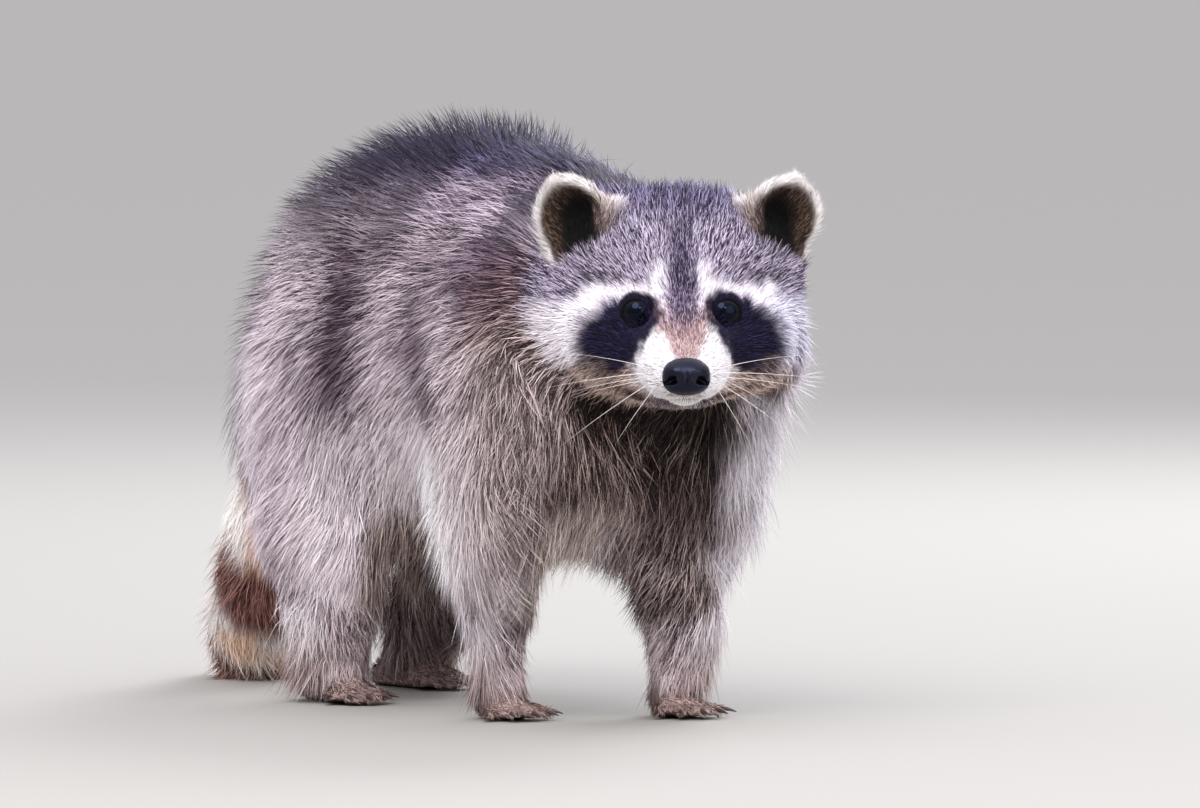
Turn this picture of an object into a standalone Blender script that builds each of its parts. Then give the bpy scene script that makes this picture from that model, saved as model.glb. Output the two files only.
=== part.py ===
"""A raccoon standing in mid stride, life size, out to the tips of its coat.

It faces -Y with its head turned to its own right (-X), and stands on z = 0. The whole body is modelled as
overlapping rounded forms, fused, then parted by thin cuts into the nodes that a person would name.
Sizes below are in millimetres unless a name says otherwise; the mesh is in metres.
"""

import math

import bmesh
import bpy
from mathutils import Matrix, Vector

MM = 0.001
GAP = 0.3            # the thin cut between neighbouring pieces

# --- driving dimensions ------------------------------------------------------------------------------------
BACK_HEIGHT = 321    # the arch of the back above the floor
BELLY_HEIGHT = 79    # the belly's fringe above the floor
HALF_WIDTH = 88      # half of the trunk's width at the flanks

HEAD_PLACE = (-10, -110)  # middle of the head, seen from above
HEAD_YAW = 27.5           # degrees that the face turns from -Y towards the animal's right
HEAD_TOP = 289
EYE_HEIGHT = 225
EYE_SPACING = 49
EYE_RADIUS = 6.6
EYE_FORWARD = 16.5   # the eyeball's centre, ahead of the middle of the head
NOSE_HEIGHT = 191
CHIN_HEIGHT = 174

FORE_STANCE = 45     # a forefoot's distance from the midline
HIND_STANCE = 50     # a hind foot's distance from the midline
FORE_STEP = {"right": 12, "left": -18}    # where along Y each forefoot stands
HIND_STEP = {"right": 193, "left": 284}   # where along Y each hind foot stands
SIDES = {"right": -1, "left": 1}

# --- resolution ---------------------------------------------------------------------------------------------
VOXEL = 2.1          # the grid on which the rounded forms fuse
BODY_TRIANGLES = 2900    # of the fused body, before it is parted
FLAT_ANGLE = 1.6     # degrees: faces that meet at less than this become one
MOST_CRUMB_POINTS = 16    # a loose piece of no more points than this is a crumb off a cut


def clear_scene():
    for item in list(bpy.data.objects):
        bpy.data.objects.remove(item, do_unlink=True)


def material(name, colour, roughness):
    finish = bpy.data.materials.new(name)
    finish.use_nodes = True
    shader = finish.node_tree.nodes["Principled BSDF"]
    shader.inputs["Base Color"].default_value = (*colour, 1)
    shader.inputs["Roughness"].default_value = roughness
    shader.inputs["Metallic"].default_value = 0
    finish.diffuse_color = (*colour, 1)
    return finish


def mesh_object(name, points, faces):
    """An object whose points are given in millimetres."""
    mesh = bpy.data.meshes.new(name)
    mesh.from_pydata([Vector(p) * MM for p in points], [], faces)
    made = bpy.data.objects.new(name, mesh)
    bpy.context.scene.collection.objects.link(made)
    return made


def between(low, high, value):
    """0 below low, 1 above high, and a smooth rise between."""
    t = min(max((value - low) / (high - low), 0), 1)
    return t * t * (3 - 2 * t)


# --- rounded forms ------------------------------------------------------------------------------------------
def through(stations, t):
    """Catmull-Rom through tuples of numbers, at t from 0 to 1."""
    spans = len(stations) - 1
    i = min(int(t * spans), spans - 1)
    f = t * spans - i
    a, b, c, d = (stations[min(max(k, 0), spans)] for k in (i - 1, i, i + 1, i + 2))
    return [
        0.5 * (2 * q + (r - p) * f + (2 * p - 5 * q + 4 * r - s) * f * f + (3 * q - p - 3 * r + s) * f**3)
        for p, q, r, s in zip(a, b, c, d)
    ]


def loft(name, stations, side=(1, 0, 0), rings=28, domes=None, sides=40):
    """A closed form through elliptical sections (x, y, z, half width, half height), rounded off at its ends.

    domes are how far the two ends bulge past the first and last section.
    """
    side = Vector(side)
    centres, radii = [], []
    for k in range(rings + 1):
        x, y, z, wide, high = through(stations, k / rings)
        centres.append(Vector((x, y, z)))
        radii.append((wide, high))
    points = []
    for k, centre in enumerate(centres):
        along = (centres[min(k + 1, rings)] - centres[max(k - 1, 0)]).normalized()
        across = (side - along * side.dot(along)).normalized()
        up = across.cross(along)
        if k == 0 or k == rings:
            # the domed end: rings that shrink as a quarter of an ellipse
            outward = -along if k == 0 else along
            dome = domes[k // rings] if domes else min(radii[k]) * 0.8
            bends = 2 + sides // 20
            steps = [math.radians(90 * j / bends) for j in range(bends)]
            steps = steps[::-1] if k == 0 else steps
            shapes = [(centre + outward * dome * math.sin(s), math.cos(s)) for s in steps]
        else:
            shapes = [(centre, 1)]
        for middle, shrink in shapes:
            for j in range(sides):
                angle = math.tau * j / sides
                reach = across * (math.cos(angle) * radii[k][0]) + up * (math.sin(angle) * radii[k][1])
                points.append(middle + reach * shrink)
    count = len(points) // sides
    faces = [
        (k * sides + j, k * sides + (j + 1) % sides, (k + 1) * sides + (j + 1) % sides, (k + 1) * sides + j)
        for k in range(count - 1) for j in range(sides)
    ]
    faces.append(tuple(reversed(range(sides))))
    faces.append(tuple((count - 1) * sides + j for j in range(sides)))
    made = mesh_object(name, points, faces)
    turn_faces_out(made.data)
    return made


def ellipsoid(name, centre, radii, turn=None, segments=32):
    """A ball stretched to three radii, turned by the matrix given, at the place given."""
    mesh = bpy.data.meshes.new(name)
    shape = bmesh.new()
    bmesh.ops.create_uvsphere(shape, u_segments=segments, v_segments=segments // 2, radius=1)
    place = Matrix.Translation(Vector(centre) * MM) @ (turn or Matrix()).to_4x4()
    place = place @ Matrix.Diagonal((*(r * MM for r in radii), 1))
    bmesh.ops.transform(shape, matrix=place, verts=shape.verts)
    shape.to_mesh(mesh)
    shape.free()
    turn_faces_out(mesh)
    made = bpy.data.objects.new(name, mesh)
    bpy.context.scene.collection.objects.link(made)
    return made


def turn_faces_out(mesh):
    shape = bmesh.new()
    shape.from_mesh(mesh)
    bmesh.ops.recalc_face_normals(shape, faces=shape.faces)
    shape.to_mesh(mesh)
    shape.free()


# --- the trunk and neck -------------------------------------------------------------------------------------
def trunk():
    """The barrel, arched along the back, from the chest (front) to the rump."""
    def section(y, top_drop, belly_rise, width):
        top, bottom = BACK_HEIGHT - top_drop, BELLY_HEIGHT + belly_rise
        return (0, y, (top + bottom) / 2, width * HALF_WIDTH, (top - bottom) / 2)

    return loft("trunk", [
        section(-66, 70, 26, 0.78),
        section(-35, 36, 10, 0.98),
        section(10, 19, 6, 1.02),
        section(75, 5, 2, 0.98),
        section(140, 0, 0, 0.98),
        section(200, 12, 2, 0.96),
        section(245, 38, 8, 0.86),
        section(284, 78, 22, 0.66),
        section(308, 108, 40, 0.44),
    ], rings=44, domes=(20, 22))


def neck():
    """Thick with fur, from the shoulders up into the back of the head."""
    stations = [(0, -10, 212, 84, 76), (-1, -52, 214, 80, 70), (-5, -88, 226, 66, 54)]
    return loft("neck", stations, domes=(30, 16))


def shoulder(side):
    """The long hair over a shoulder, which hangs past the elbow."""
    x, y = SIDES[side], FORE_STEP[side]
    return loft(f"shoulder_{side}", [
        (x * 50, -12, 226, 40, 50), (x * 60, -12, 184, 44, 58), (x * 62, -5, 136, 38, 52),
        (x * 58, 2, 98, 29, 38), (x * 53, y * 0.5 + 6, 70, 20, 27),
    ])


# --- the legs -----------------------------------------------------------------------------------------------
def foreleg(side):
    """From the elbow down to the wrist, over the forefoot's heel."""
    x, y = SIDES[side], FORE_STEP[side]
    thick = 1.2 if side == "left" else 1.0
    return loft(f"foreleg_{side}", [
        (x * 52, y * 0.4 + 8, 130, 31, 36),
        (x * 51, y * 0.6 + 9, 92, 26, 29),
        (x * (FORE_STANCE + 3), y * 0.9 + 6, 58, 17.5 * thick, 20 * thick),
        (x * (FORE_STANCE + 1), y + 7, 34, 13.5 * thick, 15 * thick),
        (x * FORE_STANCE, y + 9, 17, 12.5, 14),
    ])


def hind_leg(side):
    """The thigh's mass, then the shank down to the heel."""
    x, y = SIDES[side], HIND_STEP[side]
    stride = y - 228
    return loft(f"hind_leg_{side}", [
        (x * 42, 228, 200, 42, 60),
        (x * 50, 216 + 0.10 * stride, 152, 42, 66),
        (x * 54, 210 + 0.35 * stride, 106, 36, 56),
        (x * 54, 216 + 0.70 * stride, 72, 29, 44),
        (x * (HIND_STANCE + 2), 226 + 1.0 * stride, 46, 21, 29),
        (x * HIND_STANCE, 234 + 1.0 * stride, 18, 15, 19),
    ])


# Each foot's size, its toes' length and thickness, how far the whole foot turns in, and, from the inner toe
# to the outer one, how the toes fan out and how far each reaches.
FEET = {
    "fore": {"length": 56, "width": 27, "height": 17, "toe": 25, "toe_radius": 4.3, "toe_in": 4,
             "fan": (-38, -17, 1, 19, 40), "reach": (0.76, 0.96, 1.0, 0.95, 0.78), "claw": 10},
    "hind": {"length": 88, "width": 30, "height": 19, "toe": 25, "toe_radius": 4.7, "toe_in": -5,
             "fan": (-33, -15, 1, 16, 34), "reach": (0.70, 0.95, 1.0, 0.95, 0.76), "claw": 10},
}


def foot_frame(kind, side):
    """The middle of the foot's sole, and its forward and inward directions, on the floor."""
    steps, stance = (FORE_STEP, FORE_STANCE) if kind == "fore" else (HIND_STEP, HIND_STANCE)
    turn = math.radians(FEET[kind]["toe_in"])
    inward = -SIDES[side]
    forward = Vector((inward * math.sin(turn), -math.cos(turn), 0))
    across = Vector((inward * math.cos(turn), math.sin(turn), 0))
    return Vector((SIDES[side] * stance, steps[side], 0)), forward, across


def toes(kind, side):
    """(root, direction, length) of each of the five toes, the inner one first."""
    size = FEET[kind]
    middle, forward, inward = foot_frame(kind, side)
    ball = middle + forward * (size["length"] / 2 - size["toe"])
    found = []
    for fan, reach in zip(size["fan"], size["reach"]):
        angle = math.radians(fan)
        direction = forward * math.cos(angle) - inward * math.sin(angle)
        root = ball - inward * (size["width"] * 0.40 * math.sin(angle) / math.sin(math.radians(40)))
        root = root - forward * (6 * (1 - math.cos(angle)) / (1 - math.cos(math.radians(40))))
        found.append((root, direction, size["toe"] * reach))
    return found


def foot(kind, side):
    """The forms of one foot: a long low sole, its heel, and five toes that end in small pads."""
    size = FEET[kind]
    middle, forward, inward = foot_frame(kind, side)
    up = Vector((0, 0, 1))
    radius = size["toe_radius"]
    heel = middle - forward * (size["length"] / 2 - size["width"] * 0.40)
    ball = middle + forward * (size["length"] / 2 - size["toe"])
    low = size["height"] * 0.36
    forms = [loft(f"sole_{kind}_{side}", [
        (*(heel + up * low), size["width"] * 0.38, size["height"] * 0.50),
        (*((heel + ball) / 2 + up * low), size["width"] * 0.42, size["height"] * 0.52),
        (*(ball + up * (low - 0.5)), size["width"] * 0.50, size["height"] * 0.42),
    ], side=inward, rings=10)]
    for k, (root, direction, length) in enumerate(toes(kind, side)):
        # each toe rises to its knuckle and comes down on its pad
        forms.append(loft(f"toe_{kind}_{side}_{k + 1}", [
            (*(root - direction * 6 + up * radius * 1.2), radius * 1.15, radius * 1.1),
            (*(root + direction * length * 0.35 + up * radius * 1.3), radius, radius),
            (*(root + direction * length * 0.72 + up * radius * 0.95), radius * 0.92, radius * 0.9),
            (*(root + direction * (length - radius * 0.7) + up * radius * 0.75), radius * 0.95,
             radius * 0.85),
        ], side=direction.cross(up), rings=12))
    return forms


def claw(name, kind, root, direction, length, grow=0.0):
    """A curved tapering claw from the top of a toe's end; grow widens it for the pocket that holds it."""
    reach = FEET[kind]["claw"]
    radius = FEET[kind]["toe_radius"]
    up = Vector((0, 0, 1))
    start = root + direction * (length - radius - 1.5) + up * radius * 1.05
    sides, rings = 6, 3
    thick = radius * 0.42
    across = direction.cross(up)
    points = []
    for k in range(rings + 1):
        t = k / rings
        bend = math.radians(12 - 52 * t)
        along = direction * math.cos(bend) + up * math.sin(bend)
        normal = across.cross(along)
        centre = start + direction * (reach * t) + up * (reach * 0.22 * (t - 1.55 * t * t))
        centre = centre + along * (grow if k == rings else -grow if k == 0 else 0)
        size = thick * (1 - 0.80 * t**1.4) + grow
        for j in range(sides):
            angle = math.tau * j / sides
            reach_out = across * (size * 0.8 * math.cos(angle)) + normal * (size * math.sin(angle))
            points.append(centre + reach_out)
    faces = [
        (k * sides + j, k * sides + (j + 1) % sides, (k + 1) * sides + (j + 1) % sides, (k + 1) * sides + j)
        for k in range(rings) for j in range(sides)
    ]
    faces.append(tuple(reversed(range(sides))))
    faces.append(tuple(rings * sides + j for j in range(sides)))
    made = mesh_object(name, points, faces)
    turn_faces_out(made.data)
    return made


# --- the tail -----------------------------------------------------------------------------------------------
TAIL = [  # hangs from the rump, touches the floor and trails away from it
    (2, 285, 190, 32, 32), (1, 314, 160, 30, 30), (-2, 338, 124, 30, 30), (-4, 356, 84, 30, 30),
    (-1, 372, 50, 31, 29), (8, 397, 27, 29, 28), (22, 424, 22, 26, 24), (34, 446, 18, 18, 17),
]


def tail():
    return loft("tail", TAIL, rings=40)


# --- the head -----------------------------------------------------------------------------------------------
def head_frame():
    """Turns (sideways, forward, up) of the face into the body's own directions.

    Sideways is towards the animal's left.
    """
    yaw = math.radians(HEAD_YAW)
    left = Vector((math.cos(yaw), -math.sin(yaw), 0))
    forward = Vector((-math.sin(yaw), -math.cos(yaw), 0))
    return Matrix((left, forward, Vector((0, 0, 1)))).transposed()


def on_head(sideways, forward, height):
    """A point of the head: sideways and forward from its middle, at its height over the floor."""
    place = head_frame() @ Vector((sideways, forward, 0))
    return Vector((HEAD_PLACE[0], HEAD_PLACE[1], height)) + place


def head_ball(name, place, radii, segments=32):
    return ellipsoid(name, on_head(*place), radii, head_frame(), segments)


def skull():
    """The furred cranium, brow, cheeks and ruffs."""
    forms = [
        head_ball("cranium", (0, -24, HEAD_TOP - 47), (64, 44, 48)),
        head_ball("throat", (0, -4, 200), (44, 44, 32)),
        head_ball("brow", (0, 2, 238), (34, 27, 26)),
    ]
    for side, x in SIDES.items():
        forms.append(head_ball(f"orbit_{side}", (x * 27, -2, 224), (23, 21, 22)))
        forms.append(head_ball(f"cheek_{side}", (x * 37, -10, 206), (32, 30, 32)))
        forms.append(head_ball(f"ruff_{side}", (x * 47, -23, 209), (30, 26, 37)))
        forms.append(head_ball(f"temple_{side}", (x * 43, -24, 238), (29, 27, 31)))
    return forms


def muzzle():
    """From between the eyes to the nose pad, with the chin below."""
    def section(forward, width, top, bottom):
        return (*on_head(0, forward, (top + bottom) / 2), width, (top - bottom) / 2)

    left = head_frame().col[0]
    return [loft("muzzle", [
        section(0, 31, 242, CHIN_HEIGHT + 2),
        section(22, 28, 235, CHIN_HEIGHT),
        section(36, 27, 225.5, CHIN_HEIGHT - 1),
        section(50, 24.5, 214, CHIN_HEIGHT - 1),
        section(62, 20.5, 206, CHIN_HEIGHT + 0.5),
        section(69, 15.5, 199, CHIN_HEIGHT + 3),
    ], side=left, domes=(20, 4))]


NOSE = {"forward": 69.5, "radii": (12, 8.5, 9.7)}


def nose(name, grow=0.0):
    return head_ball(name, (0, NOSE["forward"], NOSE_HEIGHT), [r + grow for r in NOSE["radii"]], 14)


def eye(name, side, grow=0.0):
    place = (SIDES[side] * EYE_SPACING / 2, EYE_FORWARD, EYE_HEIGHT)
    return head_ball(name, place, [EYE_RADIUS + grow] * 3, 10)


EAR = {"sideways": 55, "forward": -16, "height": 268, "across": 21.5, "along": 27.5, "thick": 8, "cup": 9,
       "lean": 24, "turn_out": 22}


def ear_frame(side):
    """Columns: across the ear, out of its opening, and towards its tip."""
    x = SIDES[side]
    lean, turn = math.radians(EAR["lean"]), math.radians(EAR["turn_out"])
    tip = Vector((x * math.sin(lean), 0, math.cos(lean)))
    opening = Vector((x * math.sin(turn), math.cos(turn), 0))
    opening = (opening - tip * opening.dot(tip)).normalized()
    across = opening.cross(tip)
    return head_frame() @ Matrix((across, opening, tip)).transposed()


def ear_middle(side):
    return on_head(SIDES[side] * EAR["sideways"], EAR["forward"], EAR["height"])


def ear(side):
    """A rounded cup that opens forward and outward: its back is domed and its front hollow."""
    frame = ear_frame(side)
    middle = ear_middle(side)
    rings, sides = 10, 36
    points = []
    for surface in ("back", "front"):
        for k in range(rings + 1):
            t = k / rings if surface == "back" else 1 - k / rings
            for j in range(sides):
                angle = math.tau * j / sides
                reach = math.sin(t * math.pi / 2)
                taper = 1 - 0.16 * between(0.1, -1, math.sin(angle))
                x = EAR["across"] * reach * math.cos(angle) * taper
                z = EAR["along"] * reach * math.sin(angle)
                dome = math.sqrt(max(1 - reach * reach, 0))
                if surface == "back":
                    y = -EAR["cup"] * dome - EAR["thick"] * 0.5
                else:
                    y = -EAR["cup"] * dome + EAR["thick"] * 0.5
                points.append(middle + frame @ Vector((x, y, z)))
    count = len(points) // sides
    faces = [
        (k * sides + j, k * sides + (j + 1) % sides, (k + 1) * sides + (j + 1) % sides, (k + 1) * sides + j)
        for k in range(count - 1) for j in range(sides)
    ]
    made = mesh_object(f"ear_{side}", points, faces)
    shape = bmesh.new()
    shape.from_mesh(made.data)
    bmesh.ops.remove_doubles(shape, verts=shape.verts, dist=0.00001)
    bmesh.ops.recalc_face_normals(shape, faces=shape.faces)
    shape.to_mesh(made.data)
    shape.free()
    return made


# --- fusing and parting -------------------------------------------------------------------------------------
def evaluated_mesh(source):
    graph = bpy.context.evaluated_depsgraph_get()
    return bpy.data.meshes.new_from_object(source.evaluated_get(graph))


def bake_modifiers(target):
    """The object with its modifiers applied and removed."""
    fresh = evaluated_mesh(target)
    target.modifiers.clear()
    target.data = fresh
    return target


def join(name, forms):
    """One object holding every form's faces."""
    whole = bmesh.new()
    for form in forms:
        whole.from_mesh(form.data)
        bpy.data.objects.remove(form, do_unlink=True)
    mesh = bpy.data.meshes.new(name)
    whole.to_mesh(mesh)
    whole.free()
    made = bpy.data.objects.new(name, mesh)
    bpy.context.scene.collection.objects.link(made)
    return made


def softness(point):
    """How far the joints between forms melt together.

    Fully on the body, less on the face, little on the ears and feet.
    """
    place = point / MM
    ahead = (place - on_head(0, 0, 0)).dot(head_frame().col[1])
    face = between(-66, -40, ahead) * between(165, 185, place.z)
    nearest_ear = min((place - ear_middle(side)).length for side in SIDES)
    on_ear = between(38, 29, nearest_ear)
    foot_or_shin = between(74, 38, place.z) * between(338, 326, place.y)
    on_tail = between(310, 330, place.y)
    melt = 1 - 0.82 * face - 0.7 * on_tail * (1 - face)
    return max(melt * (1 - on_ear) * (1 - foot_or_shin), 0.015)


def fuse(forms):
    """One closed surface round all the forms, with soft creases, brought down to its triangle budget."""
    body = join("body", forms)
    remesh = body.modifiers.new("fuse", "REMESH")
    remesh.mode = "VOXEL"
    remesh.voxel_size = VOXEL * MM
    remesh.use_smooth_shade = True
    bake_modifiers(body)
    soft = body.vertex_groups.new(name="soft")
    for vertex in body.data.vertices:
        soft.add([vertex.index], softness(vertex.co), "REPLACE")
    even = body.modifiers.new("even", "SMOOTH")
    even.factor = 0.5
    even.iterations = 4
    melt = body.modifiers.new("melt", "SMOOTH")
    melt.factor = 0.5
    melt.iterations = 130
    melt.vertex_group = "soft"
    thin = body.modifiers.new("thin", "DECIMATE")
    thin.ratio = BODY_TRIANGLES / (2 * len(body.data.polygons))
    thin.use_collapse_triangulate = True
    bake_modifiers(body)
    body.vertex_groups.clear()
    return body


def cut(target, cutter, operation="DIFFERENCE"):
    """Removes the cutter's volume from the target, or with INTERSECT keeps only what is in it."""
    trim = target.modifiers.new("cut", "BOOLEAN")
    trim.operation = operation
    trim.solver = "EXACT"
    trim.object = cutter
    bake_modifiers(target)
    bpy.data.objects.remove(cutter, do_unlink=True)


def slab(centre, facing, reach):
    """A disc as thin as the gap between two pieces, across the direction given."""
    shape = bmesh.new()
    bmesh.ops.create_cone(shape, cap_ends=True, segments=32, radius1=reach * MM, radius2=reach * MM,
                          depth=GAP * MM)
    turn = Vector((0, 0, 1)).rotation_difference(Vector(facing)).to_matrix().to_4x4()
    place = Matrix.Translation(Vector(centre) * MM) @ turn
    bmesh.ops.transform(shape, matrix=place, verts=shape.verts)
    mesh = bpy.data.meshes.new("slab")
    shape.to_mesh(mesh)
    shape.free()
    made = bpy.data.objects.new("slab", mesh)
    bpy.context.scene.collection.objects.link(made)
    return made


def loose_pieces(target):
    """Splits an object into one object for each connected piece, and removes it.

    Crumbs off a cut are dropped.
    """
    whole = bmesh.new()
    whole.from_mesh(target.data)
    unseen = set(whole.verts)
    groups = []
    while unseen:
        stack = [unseen.pop()]
        group = set(stack)
        while stack:
            for edge in stack.pop().link_edges:
                for vertex in edge.verts:
                    if vertex in unseen:
                        unseen.discard(vertex)
                        group.add(vertex)
                        stack.append(vertex)
        if len(group) > MOST_CRUMB_POINTS:
            groups.append({vertex.index for vertex in group})
    whole.free()
    pieces = []
    for k, group in enumerate(groups):
        part = bmesh.new()
        part.from_mesh(target.data)
        outside = [vertex for vertex in part.verts if vertex.index not in group]
        bmesh.ops.delete(part, geom=outside, context="VERTS")
        mesh = bpy.data.meshes.new(f"piece_{k}")
        part.to_mesh(mesh)
        part.free()
        piece = bpy.data.objects.new(f"piece_{k}", mesh)
        bpy.context.scene.collection.objects.link(piece)
        pieces.append(piece)
    bpy.data.objects.remove(target, do_unlink=True)
    return pieces


def middle_of(piece):
    total = Vector()
    for vertex in piece.data.vertices:
        total += vertex.co
    return total / (len(piece.data.vertices) * MM)


def part_off(body, name, centre, facing, reach):
    """Cuts across the body at the place given.

    What lies beyond the cut, in the facing direction, is the new node.
    """
    kept = body.name
    cut(body, slab(centre, facing, reach))
    pieces = loose_pieces(body)
    centre, facing = Vector(centre), Vector(facing).normalized()
    beyond = [piece for piece in pieces if (middle_of(piece) - centre).dot(facing) > 0]
    if len(pieces) != 2 or len(beyond) != 1:
        raise RuntimeError(f"the cut for {name} left {len(pieces)} pieces, {len(beyond)} of them beyond it")
    node = beyond[0]
    pieces.remove(node)
    node.name = name
    pieces[0].name = kept
    return pieces[0], node


def largest_piece(target):
    kept = target.name
    pieces = sorted(loose_pieces(target), key=lambda piece: len(piece.data.vertices))
    for crumb in pieces[:-1]:
        bpy.data.objects.remove(crumb, do_unlink=True)
    pieces[-1].name = kept
    return pieces[-1]


def scoop_off(body, name, stations):
    """The part of the body inside a loft is the new node, and the body keeps a hollow that fits round it."""
    node = bpy.data.objects.new(name, body.data.copy())
    bpy.context.scene.collection.objects.link(node)
    cut(node, loft("region", stations, rings=3, domes=(24, 14), sides=12), "INTERSECT")
    grown = [(x, y, z, wide + 1.3 * GAP, high + 1.3 * GAP) for x, y, z, wide, high in stations]
    cut(body, loft("region", grown, rings=3, domes=(24 + 1.3 * GAP, 14 + 1.3 * GAP), sides=12))
    return largest_piece(body), largest_piece(node)


def trim_at_floor(body):
    """Flat soles, and a flat under the tail where it lies on the floor."""
    shape = bmesh.new()
    bmesh.ops.create_cube(shape, size=1)
    place = Matrix.Translation((0, 0.1, -0.05)) @ Matrix.Diagonal((1, 1.2, 0.1, 1))
    bmesh.ops.transform(shape, matrix=place, verts=shape.verts)
    mesh = bpy.data.meshes.new("floor")
    shape.to_mesh(mesh)
    shape.free()
    floor = bpy.data.objects.new("floor", mesh)
    bpy.context.scene.collection.objects.link(floor)
    cut(body, floor)


def part_head(body):
    """Head, ears and muzzle."""
    forward = head_frame().col[1]
    body, head = part_off(body, "head", on_head(-3, -41, 230), (-0.17, -1, 0.5), 90)
    head, front = part_off(head, "muzzle", on_head(0, 36, 200), forward + Vector((0, 0, 0.12)), 60)
    ears = []
    for side in SIDES:
        tip = ear_frame(side).col[2]
        root = on_head(SIDES[side] * (EAR["sideways"] - 2), EAR["forward"] - 1, EAR["height"] - 3)
        facing = tip + head_frame() @ Vector((SIDES[side] * 0.45, 0.65, 0))
        head, flap = part_off(head, f"ear_{side}", root, facing, 36)
        ears.append(flap)
    return body, [head, front, *ears]


def part_tail(body):
    nodes = []
    places = ((6.0, "tail_tip"), (4.6, "tail_end"), (3.1, "tail_middle"), (1.7, "tail_base"))
    for place, name in places:
        here = through(TAIL, place / (len(TAIL) - 1))
        ahead = through(TAIL, (place + 0.2) / (len(TAIL) - 1))
        facing = Vector(ahead[:3]) - Vector(here[:3])
        body, node = part_off(body, name, here[:3], facing, here[3] + 18)
        nodes.append(node)
    return body, nodes


def part_leg(body, kind, side):
    """Foot and lower leg, cut across, then the upper leg, scooped out of the body's side."""
    x = SIDES[side]
    if kind == "fore":
        y = FORE_STEP[side]
        cuts = [
            (f"forefoot_{side}", (x * FORE_STANCE, y + 8, 23), (0, -0.25, -1), 30),
            (f"forearm_{side}", (x * 51, y * 0.7 + 6, 68), (0, 0, -1), 46),
        ]
        upper = (f"shoulder_{side}", [
            (x * 74, -8, 212, 34, 50), (x * 68, -8, 170, 48, 72),
            (x * 63, 0, 120, 47, 70), (x * 58, 4, 66, 44, 56),
        ])
    else:
        stride = HIND_STEP[side] - 228
        cuts = [
            (f"hindfoot_{side}", (x * HIND_STANCE, HIND_STEP[side] + 3, 24), (0, 0, -1), 36),
            (f"shank_{side}", (x * 53, 216 + 0.56 * stride, 66), (0, 0, -1), 60),
        ]
        upper = (f"thigh_{side}", [
            (x * 66, 216, 200, 36, 54), (x * 66, 212 + 0.10 * stride, 152, 46, 74),
            (x * 62, 206 + 0.35 * stride, 106, 44, 70), (x * 58, 212 + 0.70 * stride, 66, 44, 60),
        ])
    nodes = []
    for name, centre, facing, reach in cuts:
        body, node = part_off(body, name, centre, facing, reach)
        nodes.append(node)
    body, node = scoop_off(body, *upper)
    return body, [*nodes, node]


def part_trunk(body):
    """Neck, chest and rump, leaving the barrel as the trunk."""
    body, neck_node = part_off(body, "neck", (0, -46, 232), (-0.05, -1, 0.62), 100)
    body, chest = part_off(body, "chest", (0, 64, 200), (0, -1, 0), 170)
    body, rump = part_off(body, "rump", (0, 132, 200), (0, 1, 0), 170)
    body.name = "trunk"
    return [body, neck_node, chest, rump]


def seat(nodes, inlays):
    """Opens a pocket in each node for what sits in it."""
    for node, inlay in inlays:
        cut(nodes[node], inlay)


# --- the whole animal ---------------------------------------------------------------------------------------
def rounded_forms():
    forms = [trunk(), neck(), tail(), *skull(), *muzzle()]
    for side in SIDES:
        forms += [shoulder(side), foreleg(side), hind_leg(side), ear(side)]
        forms += foot("fore", side) + foot("hind", side)
    return forms


def merge_flat_faces(node):
    """Drops the points and edges that the cuts left in flat faces."""
    shape = bmesh.new()
    shape.from_mesh(node.data)
    flat = math.radians(FLAT_ANGLE)
    bmesh.ops.dissolve_limit(shape, angle_limit=flat, verts=shape.verts, edges=shape.edges)
    bmesh.ops.triangulate(shape, faces=shape.faces)
    shape.to_mesh(node.data)
    shape.free()


def finish(node, look):
    merge_flat_faces(node)
    node.data.materials.clear()
    node.data.materials.append(look)
    node.data.shade_smooth()
    node.data.set_sharp_from_angle(angle=math.radians(50))


def colours():
    """The coat's colour on each part, and the bare parts."""
    back, flank, pale = (0.13, 0.11, 0.12), (0.26, 0.23, 0.24), (0.52, 0.48, 0.46)
    return {
        "head": (0.42, 0.39, 0.40), "muzzle": (0.75, 0.70, 0.68), "neck": flank, "ear": pale,
        "trunk": flank, "chest": flank, "rump": back, "shoulder": pale, "thigh": flank,
        "forearm": pale, "shank": flank, "forefoot": pale, "hindfoot": (0.25, 0.20, 0.18),
        "tail_base": (0.45, 0.33, 0.26), "tail_middle": (0.16, 0.11, 0.10), "tail_end": (0.45, 0.33, 0.26),
        "tail_tip": (0.10, 0.08, 0.08),
    }


def centre_on_floor(nodes):
    """Moves everything so that the box round it has its bottom centre at the origin."""
    corners = [vertex.co for node in nodes for vertex in node.data.vertices]
    low = Vector(min(corner[axis] for corner in corners) for axis in range(3))
    high = Vector(max(corner[axis] for corner in corners) for axis in range(3))
    shift = Matrix.Translation((-(low.x + high.x) / 2, -(low.y + high.y) / 2, 0))
    for node in nodes:
        node.data.transform(shift)


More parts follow.
